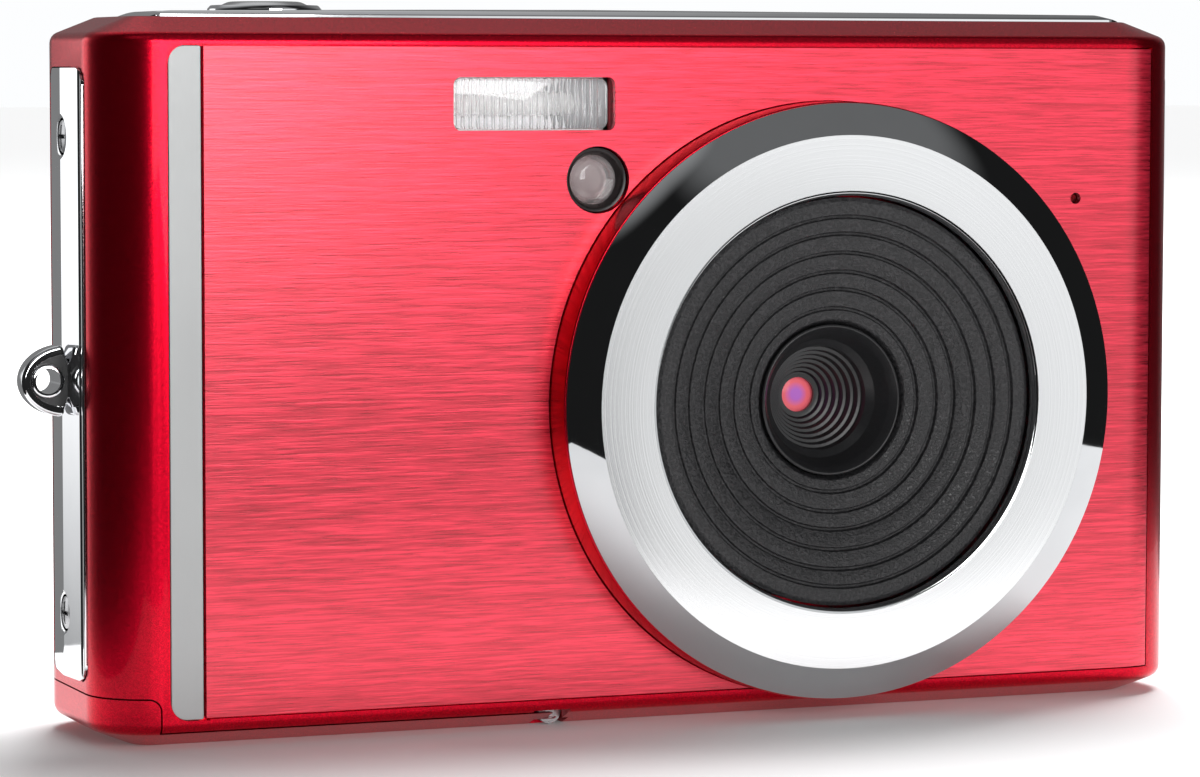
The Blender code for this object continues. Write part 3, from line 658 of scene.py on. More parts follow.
def front_shell():
    shell = camera_form("front_cover")
    bed = boxed(
        "bed", (PANEL_LOW.x - 0.5, -20, PANEL_LOW.z - SEAM),
        (PANEL_HIGH.x + SEAM, -4.2, PANEL_HIGH.z + SEAM),
    )
    cut(bed, camera_form("bed_back", 0.75))
    strip_bed = lofted("strip_bed", [[(x, y, z) for x, z in fillet([
        (STRIP_HIGH.x + 0.5, STRIP_LOW.z - SEAM), (STRIP_LOW.x - 0.05, STRIP_LOW.z - 0.05, 1.75),
        (STRIP_LOW.x - 0.05, STRIP_HIGH.z + 0.05, 1.75), (STRIP_HIGH.x + 0.5, STRIP_HIGH.z + SEAM),
    ], 8, closed=True)] for y in (-20, -9.0)])
    cut(
        shell, side_of_split("rear_half", SPLIT_Y, 20), inner_room("room"), bed, strip_bed, *common_cuts(),
        drill("boss_bed", (LENS.x, -12, LENS.z), BOSS_RADIUS + 0.1, "Y", 6, 128),
        drill("barrel_bed", (LENS.x, -8.5, LENS.z), BARREL_RADIUS + 0.25, "Y", 6, 64),
        opening("flash_bed", FLASH_LOW, FLASH_HIGH, SEAM, -20, -5),
        drill("lamp_bed", (LAMP.x, -8.5, LAMP.z), 2.6, "Y", 6, 48),
        drill("mic_bed", (MIC.x, -8.5, MIC.z), 0.45, "Y", 6, 24),
        drill("shutter_bed", (SHUTTER.x, SHUTTER.y, 54), 3.75, "Z", 4),
        drill("power_bed", (POWER.x, POWER.y, 54), 2.1, "Z", 4),
        drill("tripod_bed", (TRIPOD.x, TRIPOD.y, 1), 4.6, "Z", 6),
        *[drill(f"sound_{x}", (x, -2.5, 1), 0.5, "Z", 6, 20) for x in (34.0, 36.5, 39.0)],
        *[
            drill(f"{node}_bed", (middle(node).x, middle(node).y, 0.1), 1.5, "Z", 2.5, 32)
            for node in ("bottom_screw_inner", "bottom_screw_outer")
        ],
    )
    smooth(soften(shell, 0.07, 2, 40), 40)
    dress(shell, "red", "red_shell", replaces="front_shell")


def rear_shell():
    shell = camera_form("rear_cover")
    key_holes = [
        drill(f"{key}_hole", (middle(key).x, 9, middle(key).z), KEY_RADIUS + 0.18, "Y", 6)
        for key in KEYS
    ]
    thumb_rest = []
    for i in range(5):
        z = 27.0 + 1.5 * i
        low, high = (-43.2, BACK_Y - 0.25, z), (-40.6, 20, z + 0.7)
        thumb_rest.append(boxed(f"thumb_rib_{i}", low, high, "Y", 0.3))
    cut(
        shell, side_of_split("front_half", -20, SPLIT_Y + 0.16), inner_room("room"), *common_cuts(),
        opening("window_bed", WINDOW_LOW, WINDOW_HIGH, SEAM, 5, 20, 1.5, 8),
        opening("zoom_bed", ZOOM_LOW, ZOOM_HIGH, 0.2, 5, 20, 2.28, 12),
        drill("pad_bed", (PAD.x, 9, PAD.z), PAD_RADIUS + 0.22, "Y", 6, 96),
        *key_holes, *thumb_rest,
    )
    smooth(soften(shell, 0.07, 2, 40), 40)
    dress(shell, "silver", "silver_shell", replaces="rear_shell")


def add_uv(obj, name, across, up):
    """A flat map over the piece, from two of its axes in metres."""
    layer = obj.data.uv_layers.new(name=name)
    for loop in obj.data.loops:
        point = obj.data.vertices[loop.vertex_index].co
        layer.data[loop.index].uv = (point["XYZ".index(across)] * 10, point["XYZ".index(up)] * 10)


def front_panel():
    """The brushed sheet, bent back round the right corner, with its four openings."""
    panel = camera_form("brushed_panel")
    keep(panel, boxed("panel_edge", (PANEL_LOW.x, -20, PANEL_LOW.z), (PANEL_HIGH.x, -4.3, PANEL_HIGH.z)))
    cut(
        panel, camera_form("panel_back", 0.55),
        drill("boss_cut", (LENS.x, -9, LENS.z), BOSS_RADIUS + 0.08, "Y", 10, 128),
        opening("flash_cut", FLASH_LOW, FLASH_HIGH, 0.08, -20, -5, 0.6),
        drill("lamp_cut", (LAMP.x, -9, LAMP.z), 2.6, "Y", 6, 64),
        drill("mic_cut", (MIC.x, -9, MIC.z), 0.45, "Y", 6, 24),
    )
    add_uv(panel, "along", "X", "Z")
    smooth(soften(panel, 0.06, 2, 40), 40)
    dress(panel, "panel", "brushed_red", replaces="front_panel")


def trim_strip():
    """The satin strip: rounded where it meets the shell, square where it meets the panel."""
    low, high = STRIP_LOW, STRIP_HIGH
    outline = fillet([
        (high.x, low.z, 0.15), (low.x, low.z, 1.7), (low.x, high.z, 1.7), (high.x, high.z, 0.15),
    ], 8, closed=True)
    strip = lofted("silver_strip", [[(x, y, z) for x, z in outline] for y in (low.y, high.y)])
    smooth(soften(strip, 0.06, 3, 50), 40)
    dress(strip, "strip", "silver_strip", replaces="silver_trim_strip")


def battery_door():
    """The door's slab, lip and knuckle, with grip ribs by the lip and a wall all round inside."""
    door = camera_form("bay_door")
    keep(door, door_room("door", DOOR_HIGH.x - 0.25, 0.0))
    cut(
        door,
        boxed(
            "door_inside", (-HALF_WIDTH + 1.3, FRONT_Y + 1.3, 1.15), (-3, BACK_Y - 1.3, 20), "Z", 3.6,
        ),
    )
    hinge_x, hinge_z = middle("hinge_pin").x, middle("hinge_pin").z
    join(door, drill("knuckle", (hinge_x, 0, hinge_z), 1.0, "Y", 12.8, 40))
    notches = [drill("pin_bore", (hinge_x, 0, hinge_z), 0.5, "Y", 30, 32)]
    for side in (-1, 1):
        low, high = sorted((side * 6.45, side * 7.5))
        notches.append(boxed(f"ear_notch_{side}", (hinge_x - 1.4, low, -5), (0, high, 10)))
        low, high = sorted((side * 7.4, side * 20))
        notches.append(boxed(f"end_notch_{side}", (-9.0, low, -5), (0, high, 10)))
    for i in range(6):
        x = -38.5 + 1.1 * i
        notches.append(boxed(f"grip_{i}", (x, -3.6, -1), (x + 0.5, 3.6, 0.22), "Z", 0.24, segments=4))
    cut(door, *notches)
    smooth(soften(door, 0.07, 2, 40), 40)
    dress(door, "red", "red_shell", "door", "battery_door")

# --- Lens ---


def lens_boss():
    round_piece("lens_boss_wall", [
        (21.3, 12.75), (22.9, 12.75), (BOSS_RADIUS, 12.72, 0.12), (BOSS_RADIUS, 9.15), (21.3, 9.15),
    ], LENS, "-Y", 192, "boss", "red_gloss", replaces="lens_boss")


def lens_ring():
    """The bright ring in two finishes: a spun face, and polished bevels outside and inside."""
    round_piece("ring_outer_bevel", [
        (21.0, 14.0), (23.54, 12.96, 0.08), (23.42, 12.86), (21.0, 12.86),
    ], LENS, "-Y", 192, "mirror", "ring_metal", angle=30)
    round_piece("ring_face", [
        (RING_IN, 13.2), (RING_IN + 0.02, 13.55), (RING_IN + 0.16, 14.03), (RING_IN + 0.3, 14.075, 0.06),
        (20.995, 14.0), (20.995, 9.2), (RING_IN, 9.2),
    ], LENS, "-Y", 192, "spun", "ring_metal", replaces="lens_ring", angle=30)
    round_piece("ring_inner_lip", [
        (RING_IN - 0.1, 13.25), (RING_IN - 0.1, 13.6), (RING_IN + 0.1, 14.06, 0.04),
        (RING_IN + 0.28, 14.08), (RING_IN + 0.28, 14.0), (RING_IN + 0.1, 13.5), (RING_IN - 0.02, 13.2),
    ], LENS, "-Y", 160, "mirror", "ring_metal", corner=2, angle=30)


# Each groove of the black front: its radius, and the height of the land on its outer side
GROOVES = ((14.6, 13.2), (13.25, 12.75), (11.74, 12.32), (10.22, 11.71), (8.82, 11.34), (7.28, 10.99))


def lens_surround():
    """Stepped, grained rings that fall towards the lens, with a rounded groove between each two."""
    width, depth = 0.17, 0.26
    profile = [(6.04, 9.2), (6.04, 10.2), (6.25, 10.4), (6.25, 10.55), (6.4, 10.72, 0.12)]
    for radius, height in reversed(GROOVES):
        profile += [
            (radius - width, height - 0.05, 0.08), (radius - width * 0.55, height - depth, 0.08),
            (radius + width * 0.55, height - depth, 0.08), (radius + width, height + 0.06, 0.08),
        ]
    profile += [(15.75, 13.3, 0.3), (16.1, 13.05), (16.1, 9.2)]
    round_piece(
        "grooved_surround", profile, LENS, "-Y", 160, "grain", "black_grain",
        replaces="lens_surround", angle=50,
    )


def lens_barrel():
    """A smooth bowl, then a ridged cone down to the aperture."""
    aperture, ridges = 1.4, 7
    top_r, top_h, end_h = 4.17, 8.08, 4.2
    profile = [(aperture, 3.9), (aperture, end_h), (aperture + 0.15, end_h)]
    for i in range(ridges):
        share, after = i / ridges, (i + 1) / ridges
        r_in = aperture + 0.15 + (top_r - aperture - 0.15) * share
        r_out = aperture + 0.15 + (top_r - aperture - 0.15) * after
        h_in = end_h + (top_h - end_h) * share ** 1.15
        h_out = end_h + (top_h - end_h) * after ** 1.15
        profile += [(r_in + (r_out - r_in) * 0.72, h_in + 0.02, 0.04), (r_out, h_out, 0.05)]
    profile += [(4.75, 8.6, 0.4), (5.35, 9.9, 1.2), (5.82, 10.74, 0.15), (5.98, 10.6), (BARREL_RADIUS, 0.8),
                (3.2, 0.8), (3.2, 3.9)]
    round_piece(
        "lens_bowl", profile, LENS, "-Y", 128, "black", "black_satin", replaces="lens_barrel", angle=35,
    )
    steps = 10
    angles = [math.pi / 2 * k / steps for k in range(steps + 1)]
    dome = [(1.9 * math.sin(a), 3.35 + 0.5 * math.cos(a)) for a in angles]
    glass = turned("front_element", dome + [(2.9, 3.3), (2.9, 2.6), (0, 2.6)], LENS, "-Y", 64)
    smooth(glass, 40, weighted=False)
    dress(glass, "lens", "lens_glass", replaces="front_lens")


# --- Flash, lamp and the small openings ---


def flash():
    """A sunk clear window with ribs on its face, over a bright trough with a tube, and a dark grey cheek at
    the trough's right end that is painted shade.
    """
    low, high = FLASH_LOW.copy(), FLASH_HIGH.copy()
    low.y += 0.5
    high.x -= 0.35
    window = boxed("flash_cover", low, high, "Y", 0.7, soft=0.15)
    ribs = []
    pitch = 0.62
    count = int((high.x - low.x - 1.0) / pitch)
    for i in range(count):
        x = low.x + 0.5 + pitch * (i + 0.5)
        rib = turned(f"rib_{i}", rod(0.26, 1.9), (x, high.y + 0.06, 0), "Z", 12)
        rib.location.z = (low.z + high.z) / 2 * MM
        ribs.append(rib)
    cut(window, *ribs)
    smooth(window, 40, weighted=False)
    window.visible_shadow = False
    dress(window, "clear", "clear", replaces="flash_window")
    r_low, r_high = mm_box("flash_reflector")
    steps = 16
    angles = [math.pi * k / steps for k in range(steps + 1)]
    section = [(-0.9 - 2.2 * math.sin(a), 1.95 * math.cos(a)) for a in angles]
    mid_z = (r_low.z + r_high.z) / 2
    bm = bmesh.new()
    rows = []
    for x in (low.x - 0.1, high.x + 0.1):
        rows.append([bm.verts.new(Vector((x, r_low.y - y - 0.9, mid_z + z)) * MM) for y, z in section])
    for i in range(len(section) - 1):
        bm.faces.new((rows[0][i], rows[0][i + 1], rows[1][i + 1], rows[1][i]))
    for row in rows:
        bm.faces.new(row)
    trough = from_bmesh("flash_trough", bm)
    thick = trough.modifiers.new("thickness", "SOLIDIFY")
    thick.thickness = 0.15 * MM
    thick.offset = 1.0
    settle(trough)
    smooth(trough, 50, weighted=False)
    dress(trough, "reflector", "bright_chrome", replaces="flash_reflector")
    # Painted shade: a dark grey cheek over the trough's right end stands in for the shade there.
    cheek = lofted("flash_cheek", [[(x, y, z) for x, y in (
        (high.x + 0.1, r_low.y - 0.2), (high.x + 0.1, r_low.y + 2.6), (high.x - 5.2, r_low.y + 2.6),
    )] for z in (mid_z - 1.85, mid_z + 1.85)])
    smooth(cheek, 40, weighted=False)
    dress(cheek, "cheek", "bright_chrome")
    tube_mid = middle("flash_tube")
    round_piece("xenon_tube", [
        (0, 6.4), (0.75, 6.4, 0.3), (0.75, -6.4, 0.3), (0, -6.4),
    ], (tube_mid.x, -6.2, tube_mid.z), "X", 32, "tube", "clear", replaces="flash_tube", corner=5)


def lamp():
    """The sunk round window in its dark sleeve, a dull chrome cup behind it, and the lamp's lens."""
    at = (LAMP.x, 0, LAMP.z)
    round_piece("lamp_sleeve", [
        (1.95, 8.7), (2.2, 9.3, 0.1), (2.5, 9.4, 0.05), (2.5, 8.0), (1.95, 8.0),
    ], at, "-Y", 64, "sleeve", "black_satin")
    window = round_piece("lamp_cover", [
        (0, 9.05), (1.2, 9.0, 0.6), (1.7, 8.8, 0.5), (1.93, 8.6, 0.1), (1.93, 8.4), (0, 8.4),
    ], at, "-Y", 64, "lamp", "clear", replaces="lamp_window", corner=4, angle=50)
    window.visible_shadow = False
    round_piece("lamp_cup", [
        (1.42, 7.72), (1.5, 7.86, 0.05), (1.8, 8.3, 0.1), (1.93, 8.32), (1.93, 7.6), (1.42, 7.6),
    ], at, "-Y", 64, "cup", "bright_chrome")
    round_piece("lamp_lens", [
        (0, 7.9), (0.9, 7.86, 0.5), (1.2, 7.7, 0.1), (1.36, 7.78, 0.06), (1.4, 7.6), (1.4, 4.6), (0, 4.6),
    ], at, "-Y", 48, "led", "clear", replaces="timer_lamp", corner=4)

# --- Sides, top and underside ---


def cross_slot(name, radius, centre, axis):
    """Two thin blades that cut a cross into a screw's head."""
    depth = 0.35
    blades = []
    for i, size in enumerate(((radius * 0.7, 0.16), (0.16, radius * 0.7))):
        blade = boxed(f"{name}_blade_{i}", (-size[0], -size[1], -depth), (size[0], size[1], 2))
        middle_out = Matrix.Translation(blade.location)
        blade.matrix_world = Matrix.Translation(Vector(centre) * MM) @ AXES[axis] @ middle_out
        blades.append(blade)
    return blades


def countersunk(name, node, axis, head_at):
    """A cross-head screw with a domed, countersunk head. head_at is the head's outermost point."""
    radius = 1.25
    along = {"X": 0, "-X": 0, "Z": 2, "-Z": 2}[axis]
    low, high = mm_box(node)
    length = (high - low)[along]
    screw = turned(name, fillet([
        (0, 0), (radius * 0.6, -0.04), (radius, -0.16, 0.05), (radius, -0.3),
        (0.72, -0.75), (0.72, -length), (0, -length),
    ], 3), head_at, axis, 48)
    cut(screw, *cross_slot(name, radius, head_at, axis))
    smooth(screw, 35)
    dress(screw, "steel", "steel", replaces=node)


def side_trim(node, name, side):
    """A chrome strip with a soft ridge, a fine rim along its front edge and two dished screw seats."""
    low, high = mm_box(node)
    base = (high.x if side < 0 else low.x) * side
    outer = (low.x if side < 0 else high.x) * side
    section = fillet([
        (base, low.y), (outer - 0.36, low.y, 0.1), (outer - 0.36, low.y + 0.36, 0.1),
        (outer - 0.48, low.y + 0.5, 0.05), (outer - 0.30, low.y + 0.72, 0.2), (outer, -0.4, 1.6),
        (outer - 0.66, high.y, 0.25), (base, high.y),
    ], 4)
    trim = lofted(name, [[(side * x, y, z) for x, y in section] for z in (low.z, high.z)])
    keep(trim, boxed(name + "_ends", low, high, "X", 1.3, segments=10))
    cutters = []
    axis = "-X" if side < 0 else "X"
    for place in ("lower", "upper"):
        at = middle(f"{node}_{place}_screw")
        cutters.append(turned(f"{name}_{place}_seat", fillet([
            (0, 2), (1.75, 2), (1.75, -0.02), (1.42, -0.22), (1.42, -4), (0, -4),
        ], 2), (side * outer, at.y, at.z), axis, 48))
    if side < 0:
        lug = middle("strap_lug")
        cutters.append(drill("lug_pass", (low.x, lug.y, lug.z), 1.25, "X", 6))
    else:
        cutters.append(boxed("usb_pass", (40, 1.1, USB.z - 4), (60, 3.9, USB.z + 4), "X", 0.6))
    cut(trim, *cutters)
    smooth(soften(trim, 0.09, 3, 50), 40)
    dress(trim, "chrome", "bright_chrome", replaces=node)
    for place in ("lower", "upper"):
        screw = f"{node}_{place}_screw"
        at = middle(screw)
        countersunk(f"{name}_{place}_screw", screw, axis, (side * (outer - 0.1), at.y, at.z))


def leaf(name, tip_x, reach, half, mid, y_low, y_high):
    """A plate with two pointed tips, a rounded nose and a short neck towards the strip."""
    steps = 24
    neck = [(tip_x + 1.6, 0.4 * half), (tip_x + 0.5, 0.45 * half, 0.3)]
    curve = [
        (tip_x - reach * math.sin(math.pi * i / steps) ** 1.1, half * math.cos(math.pi * i / steps))
        for i in range(steps + 1)
    ]
    outline = fillet(neck + curve + [(x, -z, *rest) for x, z, *rest in reversed(neck)], 3)
    return lofted(name, [[(x, y, mid.z + z) for x, z in outline] for y in (y_low, y_high)])


def strap_eye():
    """A thin leaf with a raised rim round a well, and a collared hole through it. The well's black fill is
    a painted reflection of the dark that the dished chrome would show.
    """
    low, high = mm_box("strap_lug")
    mid = (low + high) / 2
    tip_x = TRIM_LOW.x - 0.35
    reach, half = tip_x - low.x, (high.z - low.z) / 2 - 0.03
    back = low.y + 1.9
    eye = leaf("strap_eye", tip_x, reach, half, mid, low.y, back)
    settle(soften(eye, 0.3, 3, 45))
    join(eye, turned("eye_stem", rod(1.05, 2), (tip_x + 2.1, mid.y, mid.z), "X", 32))
    inner = (tip_x + 0.12, reach - 0.5, half - 0.72, mid)
    at = (tip_x - 1.15, mid.y, mid.z)
    cut(
        eye, leaf("front_well", *inner, low.y - 1, low.y + 0.5),
        leaf("back_well", *inner, back - 0.5, back + 1),
    )
    collar = turned("eye_collar", [(0, high.y - 0.2), (1.3, high.y - 0.2), (1.3, low.y), (0, low.y)],
                    (at[0], 0, mid.z), "Y", 64)
    settle(soften(collar, 0.16, 3, 45))
    cut(join(eye, collar), drill("eye_hole", at, 0.95, "Y", 8, 48))
    smooth(soften(eye, 0.06, 2, 50), 45)
    dress(eye, "chrome", "bright_chrome", replaces="strap_lug")
    # Painted reflection: a black fill in the well stands in for the dark that the dished chrome would
    # reflect.
    fill = leaf("eye_well_painted_reflection", tip_x + 0.1, reach - 0.55, half - 0.77, mid, low.y + 0.42, back - 0.42)
    cut(fill, drill("fill_hole", at, 1.2, "Y", 8, 48))
    smooth(fill, 40)
    dress(fill, "black", "black_satin")


def top_deck():
    """The chrome plate with a dish round the power button, the shutter bezel, and both buttons."""
    low, high = TOP_LOW, TOP_HIGH
    crest, base = high.z, low.z
    across = fillet([
        (low.y, base), (low.y, crest - 0.55, 0.12), (low.y + 0.55, crest - 0.12, 0.3),
        (0, crest + 0.04, 12),
        (high.y - 0.55, crest - 0.12, 0.3), (high.y, crest - 0.55, 0.12), (high.y, base),
    ], 6)
    along = fillet([
        (low.x, base), (low.x, base + 0.3, 0.1), (low.x + 1.9, crest - 0.3, 3), (-4, crest, 60),
        (high.x - 2.4, crest - 0.2, 2.5), (high.x, crest - 0.8, 0.5), (high.x, base),
    ], 8)
    plate = lofted("top_deck", [[(x, y, z) for y, z in across] for x in (low.x, high.x)])
    keep(
        plate, lofted("deck_side", [[(x, y, z) for x, z in along] for y in (low.y - 1, high.y + 1)]),
        boxed("deck_plan", (low.x, low.y, base - 1), (high.x, high.y, crest + 1), "Z", 1.4, segments=10),
    )
    dish = turned("power_dish", fillet([
        (0, 2), (3.0, 2), (2.75, -0.02), (1.9, -0.28, 0.5), (0, -0.3),
    ], 4), (POWER.x, POWER.y, TOP_HIGH.z - 0.08), "Z", 64)
    cut(
        plate, dish, drill("bezel_pass", (SHUTTER.x, SHUTTER.y, 55), 4.5, "Z", 6, 96),
        drill("power_pass", (POWER.x, POWER.y, 55), 2.0, "Z", 6, 64),
    )
    smooth(soften(plate, 0.08, 3, 50), 40)
    dress(plate, "chrome", "bright_chrome", replaces="top_plate")
    bezel_top = mm_box("shutter_bezel")[1].z
    round_piece("shutter_collar", [
        (3.62, bezel_top - 0.25), (3.75, bezel_top, 0.1), (4.15, bezel_top - 0.02, 0.15),
        (4.4, bezel_top - 0.3, 0.1), (4.4, 54.7), (3.62, 54.7),
    ], (SHUTTER.x, SHUTTER.y, 0), "Z", 96, "chrome", "bright_chrome", replaces="shutter_bezel")
    cap_top = mm_box("shutter_button")[1].z
    round_piece("shutter_cap", [
        (0, cap_top - 0.14), (1.6, cap_top - 0.1), (2.7, cap_top, 1.2), (3.45, cap_top - 0.35, 0.3),
        (3.45, 53.9), (3.0, 53.9), (3.0, 54.9), (1.0, 54.9), (1.0, 52.2), (0, 52.2),
    ], (SHUTTER.x, SHUTTER.y, 0), "Z", 96,
        "satin_chrome", "button_metal", "shutter", "shutter_button", corner=5)
    power_top = mm_box("power_button")[1].z
    power = turned("power_cap", fillet([
        (0, power_top), (1.3, power_top - 0.03, 0.4), (1.85, power_top - 0.2, 0.12),
        (1.85, 53.9), (0.8, 53.9), (0.8, 51.8), (0, 51.8),
    ], 4), (POWER.x, POWER.y, 0), "Z", 64)
    cut(power, turned("power_mark", [
        (0.62, power_top + 1), (0.82, power_top + 1), (0.82, power_top - 0.06), (0.62, power_top - 0.06),
    ], (POWER.x, POWER.y, 0), "Z", 48))
    smooth(power, 40)
    dress(power, "satin_chrome", "button_metal", "power", "power_button")


def underside():
    """The tripod socket with its thread, and the two closing screws."""
    low, high = mm_box("tripod_bush")
    bore, pitch, depth = 3.2, 1.27, 5.7
    profile = [
        (0, high.z), (3.9, high.z), (3.9, 1.9), (4.5, 1.9),
        (4.5, 0.12), (4.42, 0.05), (3.5, 0.05), (bore, 0.3),
    ]
    turns = int((depth - 0.6) / pitch)
    for i in range(turns):
        z = 0.5 + pitch * i
        profile += [(bore, z + 0.1), (bore + 0.42, z + pitch / 2), (bore, z + pitch - 0.1)]
    profile += [(bore, 5.8), (0, 5.8)]
    bush = turned("tripod_socket", profile, (TRIPOD.x, TRIPOD.y, 0), "Z", 64)
    smooth(bush, 25, weighted=False)
    dress(bush, "steel", "steel", replaces="tripod_bush")
    for place in ("inner", "outer"):
        node = f"bottom_screw_{place}"
        at = middle(node)
        low, high = mm_box(node)
        length = high.z - low.z
        screw = turned(f"base_screw_{place}", fillet([
            (0, length), (0.75, length), (0.75, 0.8), (1.3, 0.8), (1.3, 0.12, 0.1), (0.7, 0.0), (0, 0.0),
        ], 3), (at.x, at.y, low.z), "Z", 48)
        blades = [boxed(f"blade_{place}_{i}", (at.x - a, at.y - b, -2), (at.x + a, at.y + b, low.z + 0.35))
                  for i, (a, b) in enumerate(((0.85, 0.16), (0.16, 0.85)))]
        cut(screw, *blades)
        smooth(screw, 35)
        dress(screw, "steel", "steel", replaces=node)


# --- Back ---


def display():
    """The window, its dark border, and the lit area's own surface behind it."""
    window = boxed("display_window", WINDOW_LOW, WINDOW_HIGH, "Y", 1.4, soft=0.15, segments=8)
    smooth(window, 40)
    dress(window, "glass", "screen_glass", replaces="lcd_window")
    frame["nodes"]["lcd_panel"].data.materials.clear()
    frame["nodes"]["lcd_panel"].data.materials.append(M["screen"])
    border = 3.0
    area = boxed(
        "display_area", (WINDOW_LOW.x + border, WINDOW_HIGH.y - 0.02, WINDOW_LOW.z + border + 1),
        (WINDOW_HIGH.x - border, WINDOW_HIGH.y, WINDOW_HIGH.z - border + 0.5), "Y", 0.4,
    )
    smooth(area, 40, weighted=False)
    dress(area, "screen", "screen_glass")


def key(node, name, body, mark):
    """A round key with a dished face and a small raised mark."""
    low, high = mm_box(node)
    at = (low + high) / 2
    radius = (high.x - low.x) / 2
    round_piece(name, [
        (0, high.y - 0.16), (radius * 0.6, high.y - 0.08, 1.5), (radius * 0.82, high.y, 0.4),
        (radius, high.y - 0.25, 0.15), (radius, 8.2), (0.8, 8.2), (0.8, low.y), (0, low.y),
    ], (at.x, 0, at.z), "Y", 64, "keys", "key_plastic", body, node, corner=4)
    inlay = mark(name + "_mark", at, high.y - 0.12)
    smooth(inlay, 40, weighted=False)
    dress(inlay, "mark", "black_satin", body)


def flat_shape(name, points, centre, y, thick=0.08):
    """A thin plate on the back, from an outline of (x, z) offsets."""
    rings = [[(centre.x + px, at_y, centre.z + pz) for px, pz in points] for at_y in (y - thick, y)]
    return lofted(name, rings)


def triangle(size, turn=0.0):
    points = [(size, 0), (-size * 0.6, size * 0.85), (-size * 0.6, -size * 0.85)]
    c, s = math.cos(turn), math.sin(turn)
    return [(x * c - z * s, x * s + z * c) for x, z in points]


def mark_play(name, at, y):
    return flat_shape(name, triangle(0.85, math.pi), at, y)


def bar(wide, tall):
    """The outline of a bar, from half its width and half its height."""
    return [(-wide, -tall), (wide, -tall), (wide, tall), (-wide, tall)]


def mark_bars(name, at, y):
    bars = [
        flat_shape(f"{name}_{i}", bar(0.8, 0.12), Vector((at.x, 0, at.z + 0.5 * i)), y)
        for i in (-1, 0, 1)
    ]
    return join(flat_shape(name, bar(0.1, 0.6), at, y - 0.01), *bars)


def mark_square(name, at, y):
    outer = flat_shape(name, bar(0.75, 0.75), at, y)
    return cut(outer, flat_shape(name + "_in", bar(0.5, 0.5), at, y + 0.5, 2))


def mark_cross(name, at, y):
    slant = 0.7071
    one, two = (
        flat_shape(f"{name}{suffix}", [
            (x * slant - z * sign * slant, x * sign * slant + z * slant) for x, z in bar(0.95, 0.12)
        ], at, y - shift)
        for suffix, sign, shift in (("", 1, 0.0), ("_b", -1, 0.01))
    )
    return join(one, two)


def controls():
    key("mode_button", "mode_key", "mode", mark_square)
    key("playback_button", "playback_key", "playback", mark_play)
    key("menu_button", "menu_key", "menu", mark_bars)
    key("delete_button", "delete_key", "delete", mark_cross)
    rocker = boxed("zoom_key", (ZOOM_LOW.x, 8.9, ZOOM_LOW.z), ZOOM_HIGH, "Y", 2.1, segments=12)
    mid = (ZOOM_LOW + ZOOM_HIGH) / 2
    dip = turned("rocker_dip", rod(7.2, 3), (mid.x, ZOOM_HIGH.y + 7.0, mid.z), "Z", 128)
    cut(rocker, dip)
    smooth(soften(rocker, 0.25, 4, 30), 40)
    dress(rocker, "keys", "key_plastic", "zoom", "zoom_rocker")
    stem = boxed("zoom_stem", (mid.x - 3.6, 7.4, mid.z - 0.8), (mid.x + 3.6, 8.95, mid.z + 0.8), soft=0.1)
    smooth(stem, 40)
    dress(stem, "keys", "key_plastic", "zoom")
    plus = [
        (-0.7, -0.12), (-0.12, -0.12), (-0.12, -0.7), (0.12, -0.7), (0.12, -0.12), (0.7, -0.12),
        (0.7, 0.12), (0.12, 0.12), (0.12, 0.7), (-0.12, 0.7), (-0.12, 0.12), (-0.7, 0.12),
    ]
    for name, side, points in (("zoom_sign_less", 1, bar(0.7, 0.12)), ("zoom_sign_more", -1, plus)):
        at = Vector((mid.x + side * 3.9, 0, mid.z))
        dress(flat_shape(name, points, at, ZOOM_HIGH.y, 0.12), "mark", "black_satin", "zoom")
    top = mm_box("nav_pad")[1].y
    bore = 3.9
    round_piece("navigation_pad", [
        (bore, top - 0.4), (bore + 0.3, top - 0.25, 0.2), (6.2, top - 0.12, 4.0), (8.4, top, 0.8),
        (PAD_RADIUS, top - 0.35, 0.2), (PAD_RADIUS, 8.1), (bore, 8.1),
    ], (PAD.x, 0, PAD.z), "Y", 128, "keys", "key_plastic", "pad", "nav_pad", corner=5)
    for i in range(4):
        angle = math.pi / 2 * i
        at = Vector((PAD.x + 6.4 * math.cos(angle), 0, PAD.z + 6.4 * math.sin(angle)))
        arrow = flat_shape(f"pad_arrow_{i}", triangle(0.75, angle), at, top - 0.06, 0.12)
        dress(arrow, "mark", "black_satin", "pad")
    high = mm_box("ok_button")[1].y
    round_piece("ok_key", [
        (0, high - 0.16), (2.0, high - 0.08, 1.5), (2.9, high, 0.5), (3.35, high - 0.3, 0.15), (3.35, 8.35),
        (1.0, 8.35), (1.0, 7.15), (0, 7.15),
    ], (PAD.x, 0, PAD.z), "Y", 96, "keys", "key_plastic", "ok", "ok_button", corner=4)

# --- Studio ---


def studio_floor():
    """White paper. Past the near sheet it is plain background, and gloss shows the dim room instead."""
    for name, (left, front, right, back), drop, glow in (
        ("near_paper", (-85, -100, 150, 50), 0.0, 0.06),
        ("far_paper", (-6000, -6000, 6000, 6000), 0.02, 0.75),
    ):
        paint = Paint(
            name, Roughness=0.75, Specular_IOR_Level=0.2, Emission_Color=(1, 1, 1), Emission_Strength=glow,
        )
        paint.feed("Base_Color", paint.blend(
            paint.between(paint.noise(0.02), 0, 1), (0.90, 0.90, 0.905), (0.93, 0.93, 0.935),
        ))
        bm = bmesh.new()
        bm.faces.new([
            bm.verts.new(Vector((x, y, -drop)) * MM)
            for x, y in ((left, front), (right, front), (right, back), (left, back))
        ])
        paper = from_bmesh(name, bm)
        paper.data.materials.append(paint.material)
        paper.visible_glossy = name == "near_paper"


def towards(azimuth, elevation):
    """The direction at two angles in degrees. Azimuth 0 is ahead of the camera, 90 at its right end."""
    az, el = math.radians(azimuth), math.radians(elevation)
    return Vector((math.sin(az) * math.cos(el), -math.cos(az) * math.cos(el), math.sin(el)))


